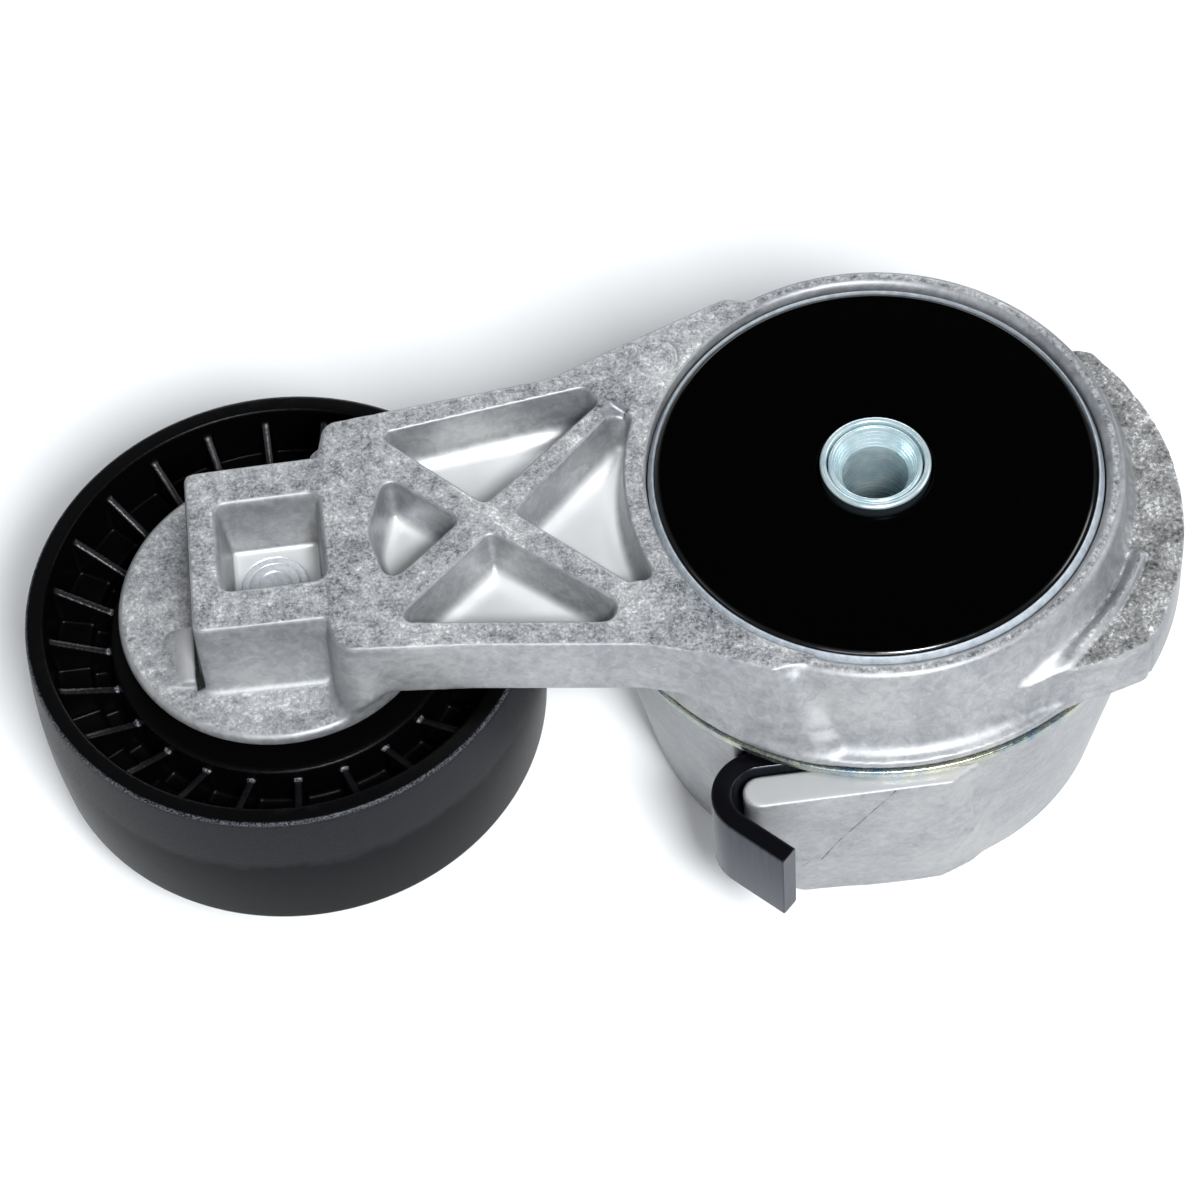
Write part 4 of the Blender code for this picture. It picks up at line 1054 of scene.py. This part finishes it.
def moulded_black():
    """Glass-filled nylon: granular sheen, smoother where the belt runs, with painted highlights on the rib
    crests, the ribs' inner ends and the rim's speckled outer corner, which is partly wear.
    """
    f = Finish("black_nylon")
    grain, cloud = f.noise(0.28, 3, 0.65), f.noise(6.0, 3, 0.6)
    reach = f.radius(PULLEY)
    upper = f.span(f.total(f.z, f.span(cloud, 0.3, 0.7, -0.8, 0.8)), PULLEY_TOP - 12.0, PULLEY_TOP - 10.0)
    face = f.span(reach, PULLEY_RADIUS - 1.0, PULLEY_RADIUS - 0.8)
    worn = f.product(face, upper)
    # the rim's outer corner, speckled pale grey: partly wear, partly a painted highlight
    corner = f.product(f.span(reach, PULLEY_RADIUS - 1.4, PULLEY_RADIUS - 1.2),
                       f.span(f.z, PULLEY_TOP - 0.7, PULLEY_TOP - 0.4), f.span(f.up, 0.96, 0.80),
                       f.span(grain, 0.42, 0.62))
    crest = f.product(f.span(f.up, 0.45, 0.75), f.span(f.z, 33.2, 33.8),
                      f.band(reach, 25.9, 26.2, 34.6, 34.9))
    # painted highlight: pale dots at the ribs' inner ends
    rib_end_highlight = f.product(f.span(reach, 27.0, 26.7), f.span(grain, 0.4, 0.6))
    # painted highlight: the rib crests a little lighter than the dark web
    crest_highlight = f.mix(f.span(grain, 0.35, 0.65), (0.003, 0.003, 0.0035), (0.014, 0.014, 0.016))
    inner = f.mix(crest, (0.0010, 0.0010, 0.0012), f.mix(rib_end_highlight, crest_highlight, (0.2, 0.2, 0.22)))
    sheen = f.mix(upper, (0.0044, 0.0047, 0.0062), (0.012, 0.0125, 0.0165))
    belt = f.mix(f.span(grain, 0.40, 0.66), (0.004, 0.0043, 0.0055), sheen)
    return f.finish(
        Base_Color=f.mix(corner, f.mix(face, inner, belt), (0.10, 0.105, 0.12)),
        Roughness=f.mix(worn, f.span(grain, 0.3, 0.7, 0.30, 0.38), f.span(grain, 0.3, 0.7, 0.34, 0.52)),
        Normal=f.bump(grain, 0.05, f.mix(worn, 0.45, 1.0)),
        Specular_IOR_Level=f.mix(face, f.mix(crest, 0.10, 0.4), f.mix(upper, 0.05, 0.12)))


def sprung_steel():
    """Dark oiled strip, satin on its faces and glossy on its edges."""
    f = Finish("spring_steel")
    edge = f.span(f.size(f.up), 0.5, 0.9)
    streak = f.noise(0.8, 3, 0.6, f.scaled(f.place, (1.0, 1.0, 0.15)))
    faces = f.mix(f.span(streak, 0.3, 0.7), (0.032, 0.035, 0.045), (0.062, 0.067, 0.083))
    return f.finish(
        Base_Color=f.mix(edge, faces, (0.002, 0.002, 0.003)), Metallic=f.mix(edge, 0.7, 0.0),
        Roughness=f.mix(edge, f.span(streak, 0.3, 0.7, 0.30, 0.42), 0.11), Specular_IOR_Level=0.16,
        Normal=f.bump(streak, 0.03, 0.25))


def steel(name, colour, low, high, metallic=1.0):
    """Bare or plated steel, or bronze, with a roughness from low to high."""
    f = Finish(name)
    streak = f.noise(0.6, 3, 0.6)
    light = tuple(min(1.0, 1.25 * c) for c in colour)
    return f.finish(Base_Color=f.mix(f.span(streak, 0.35, 0.65), colour, light), Metallic=metallic,
                    Roughness=f.span(streak, 0.3, 0.7, low, high), Normal=f.bump(streak, 0.02, 0.3))


def matt(name, colour, roughness):
    f = Finish(name)
    grain = f.noise(0.5, 3, 0.6)
    light = tuple(1.3 * c for c in colour)
    return f.finish(Base_Color=f.mix(f.span(grain, 0.35, 0.65), colour, light),
                    Roughness=f.span(grain, 0.3, 0.7, roughness - 0.06, roughness + 0.08),
                    Normal=f.bump(grain, 0.02, 0.4))


def repaint(finish, *nodes):
    """Gives CAD nodes that stay visible a finish."""
    for node in nodes:
        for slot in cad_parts[node].material_slots:
            slot.material = finish[0]


# Camera, floor and light

def make_camera():
    """A 117 mm lens above and in front of the part, a little to its left and slightly rolled."""
    azimuth, elevation, roll = (math.radians(a) for a in (-2.20, 56.83, -5.33))
    ahead = Vector((-math.sin(azimuth) * math.cos(elevation), math.cos(azimuth) * math.cos(elevation),
                    -math.sin(elevation)))
    level = Vector((math.cos(azimuth), math.sin(azimuth), 0))
    rise = level.cross(ahead)
    right = math.cos(roll) * level + math.sin(roll) * rise
    up = -math.sin(roll) * level + math.cos(roll) * rise
    camera = bpy.data.objects.new("camera", bpy.data.cameras.new("camera"))
    bpy.context.scene.collection.objects.link(camera)
    camera.data.lens = 117.27
    camera.data.sensor_width = 36
    camera.data.clip_start = 0.01
    spot = Vector((-54.0, -321.7, 524.8)) * MM
    camera.matrix_world = Matrix.Translation(spot) @ Matrix((right, up, -ahead)).transposed().to_4x4()
    bpy.context.scene.camera = camera


def area_light(name, place, size, power):
    """Cool white soft box, aimed at the middle of the part."""
    lamp = bpy.data.lights.new(name, "AREA")
    lamp.shape = "RECTANGLE"
    lamp.size, lamp.size_y = size
    lamp.energy = power
    lamp.color = (0.955, 0.98, 1.0)
    light = bpy.data.objects.new(name, lamp)
    bpy.context.scene.collection.objects.link(light)
    light.location = place
    middle = Vector((-0.04, 0.0, 0.03))
    light.rotation_euler = (middle - light.location).to_track_quat("-Z", "Y").to_euler()


def make_studio():
    world = bpy.data.worlds.new("studio")
    world.use_nodes = True
    sky = world.node_tree.nodes["Background"].inputs
    sky["Color"].default_value = (0.92, 0.95, 1.0, 1)
    sky["Strength"].default_value = 0.20
    bpy.context.scene.world = world
    area_light("key", (0.11, -0.63, 0.87), (0.20, 0.20), 12.4)
    area_light("front", (-0.16, -0.95, 0.60), (0.7, 0.4), 3.7)
    area_light("left", (-0.95, -0.15, 0.45), (0.5, 0.5), 0.7)
    area_light("right", (0.95, 0.0, 0.45), (0.5, 0.5), 3)
    area_light("rear", (0.1, 0.95, 0.40), (0.9, 0.3), 4)
    side, drop = 3000, -0.2
    corners = [(-side, -side, drop), (side, -side, drop), (side, side, drop), (-side, side, drop)]
    floor = small_mesh("floor", corners, [(0, 1, 2, 3)])
    paper = bpy.data.materials.new("floor_paper")
    paper.use_nodes = True
    shader = paper.node_tree.nodes["Principled BSDF"]
    shader.inputs["Base Color"].default_value = (0.9, 0.9, 0.9, 1)
    shader.inputs["Roughness"].default_value = 0.9
    floor.data.materials.append(paper)


aluminium = cast_aluminium()
black_paint = glossy_black()
zinc = zinc_plate()
chromate = olive_chromate()
grey_nylon = moulded_grey()
black_nylon = moulded_black()
spring_steel = sprung_steel()
bright_steel = steel("zinc_plate_bolt", (0.62, 0.64, 0.66), 0.36, 0.50, 0.6)[0], "zinc_plate"
repaint(steel("bearing_steel", (0.50, 0.50, 0.51), 0.14, 0.24), "bearing_inner_race", "bearing_outer_race",
        *(f"bearing_ball_{k}" for k in range(1, 8)))
repaint(steel("bushing_bronze", (0.42, 0.30, 0.16), 0.32, 0.46), "pivot_bushing")
repaint(matt("cage_nylon", (0.36, 0.30, 0.18), 0.5), "bearing_cage")
repaint(matt("seal_rubber", (0.018, 0.018, 0.018), 0.65), "bearing_front_seal", "bearing_rear_seal")
repaint(black_nylon, "lower_thrust_washer")
repaint(zinc, "bearing_spacer")
for make in (make_arm, make_case, make_pulley, make_front_plate, make_collar, make_sleeve, make_damping_ring,
             make_washer, make_shield, make_bolt, make_spring, make_camera, make_studio):
    make()
bpy.context.scene.view_settings.view_transform = "Standard"
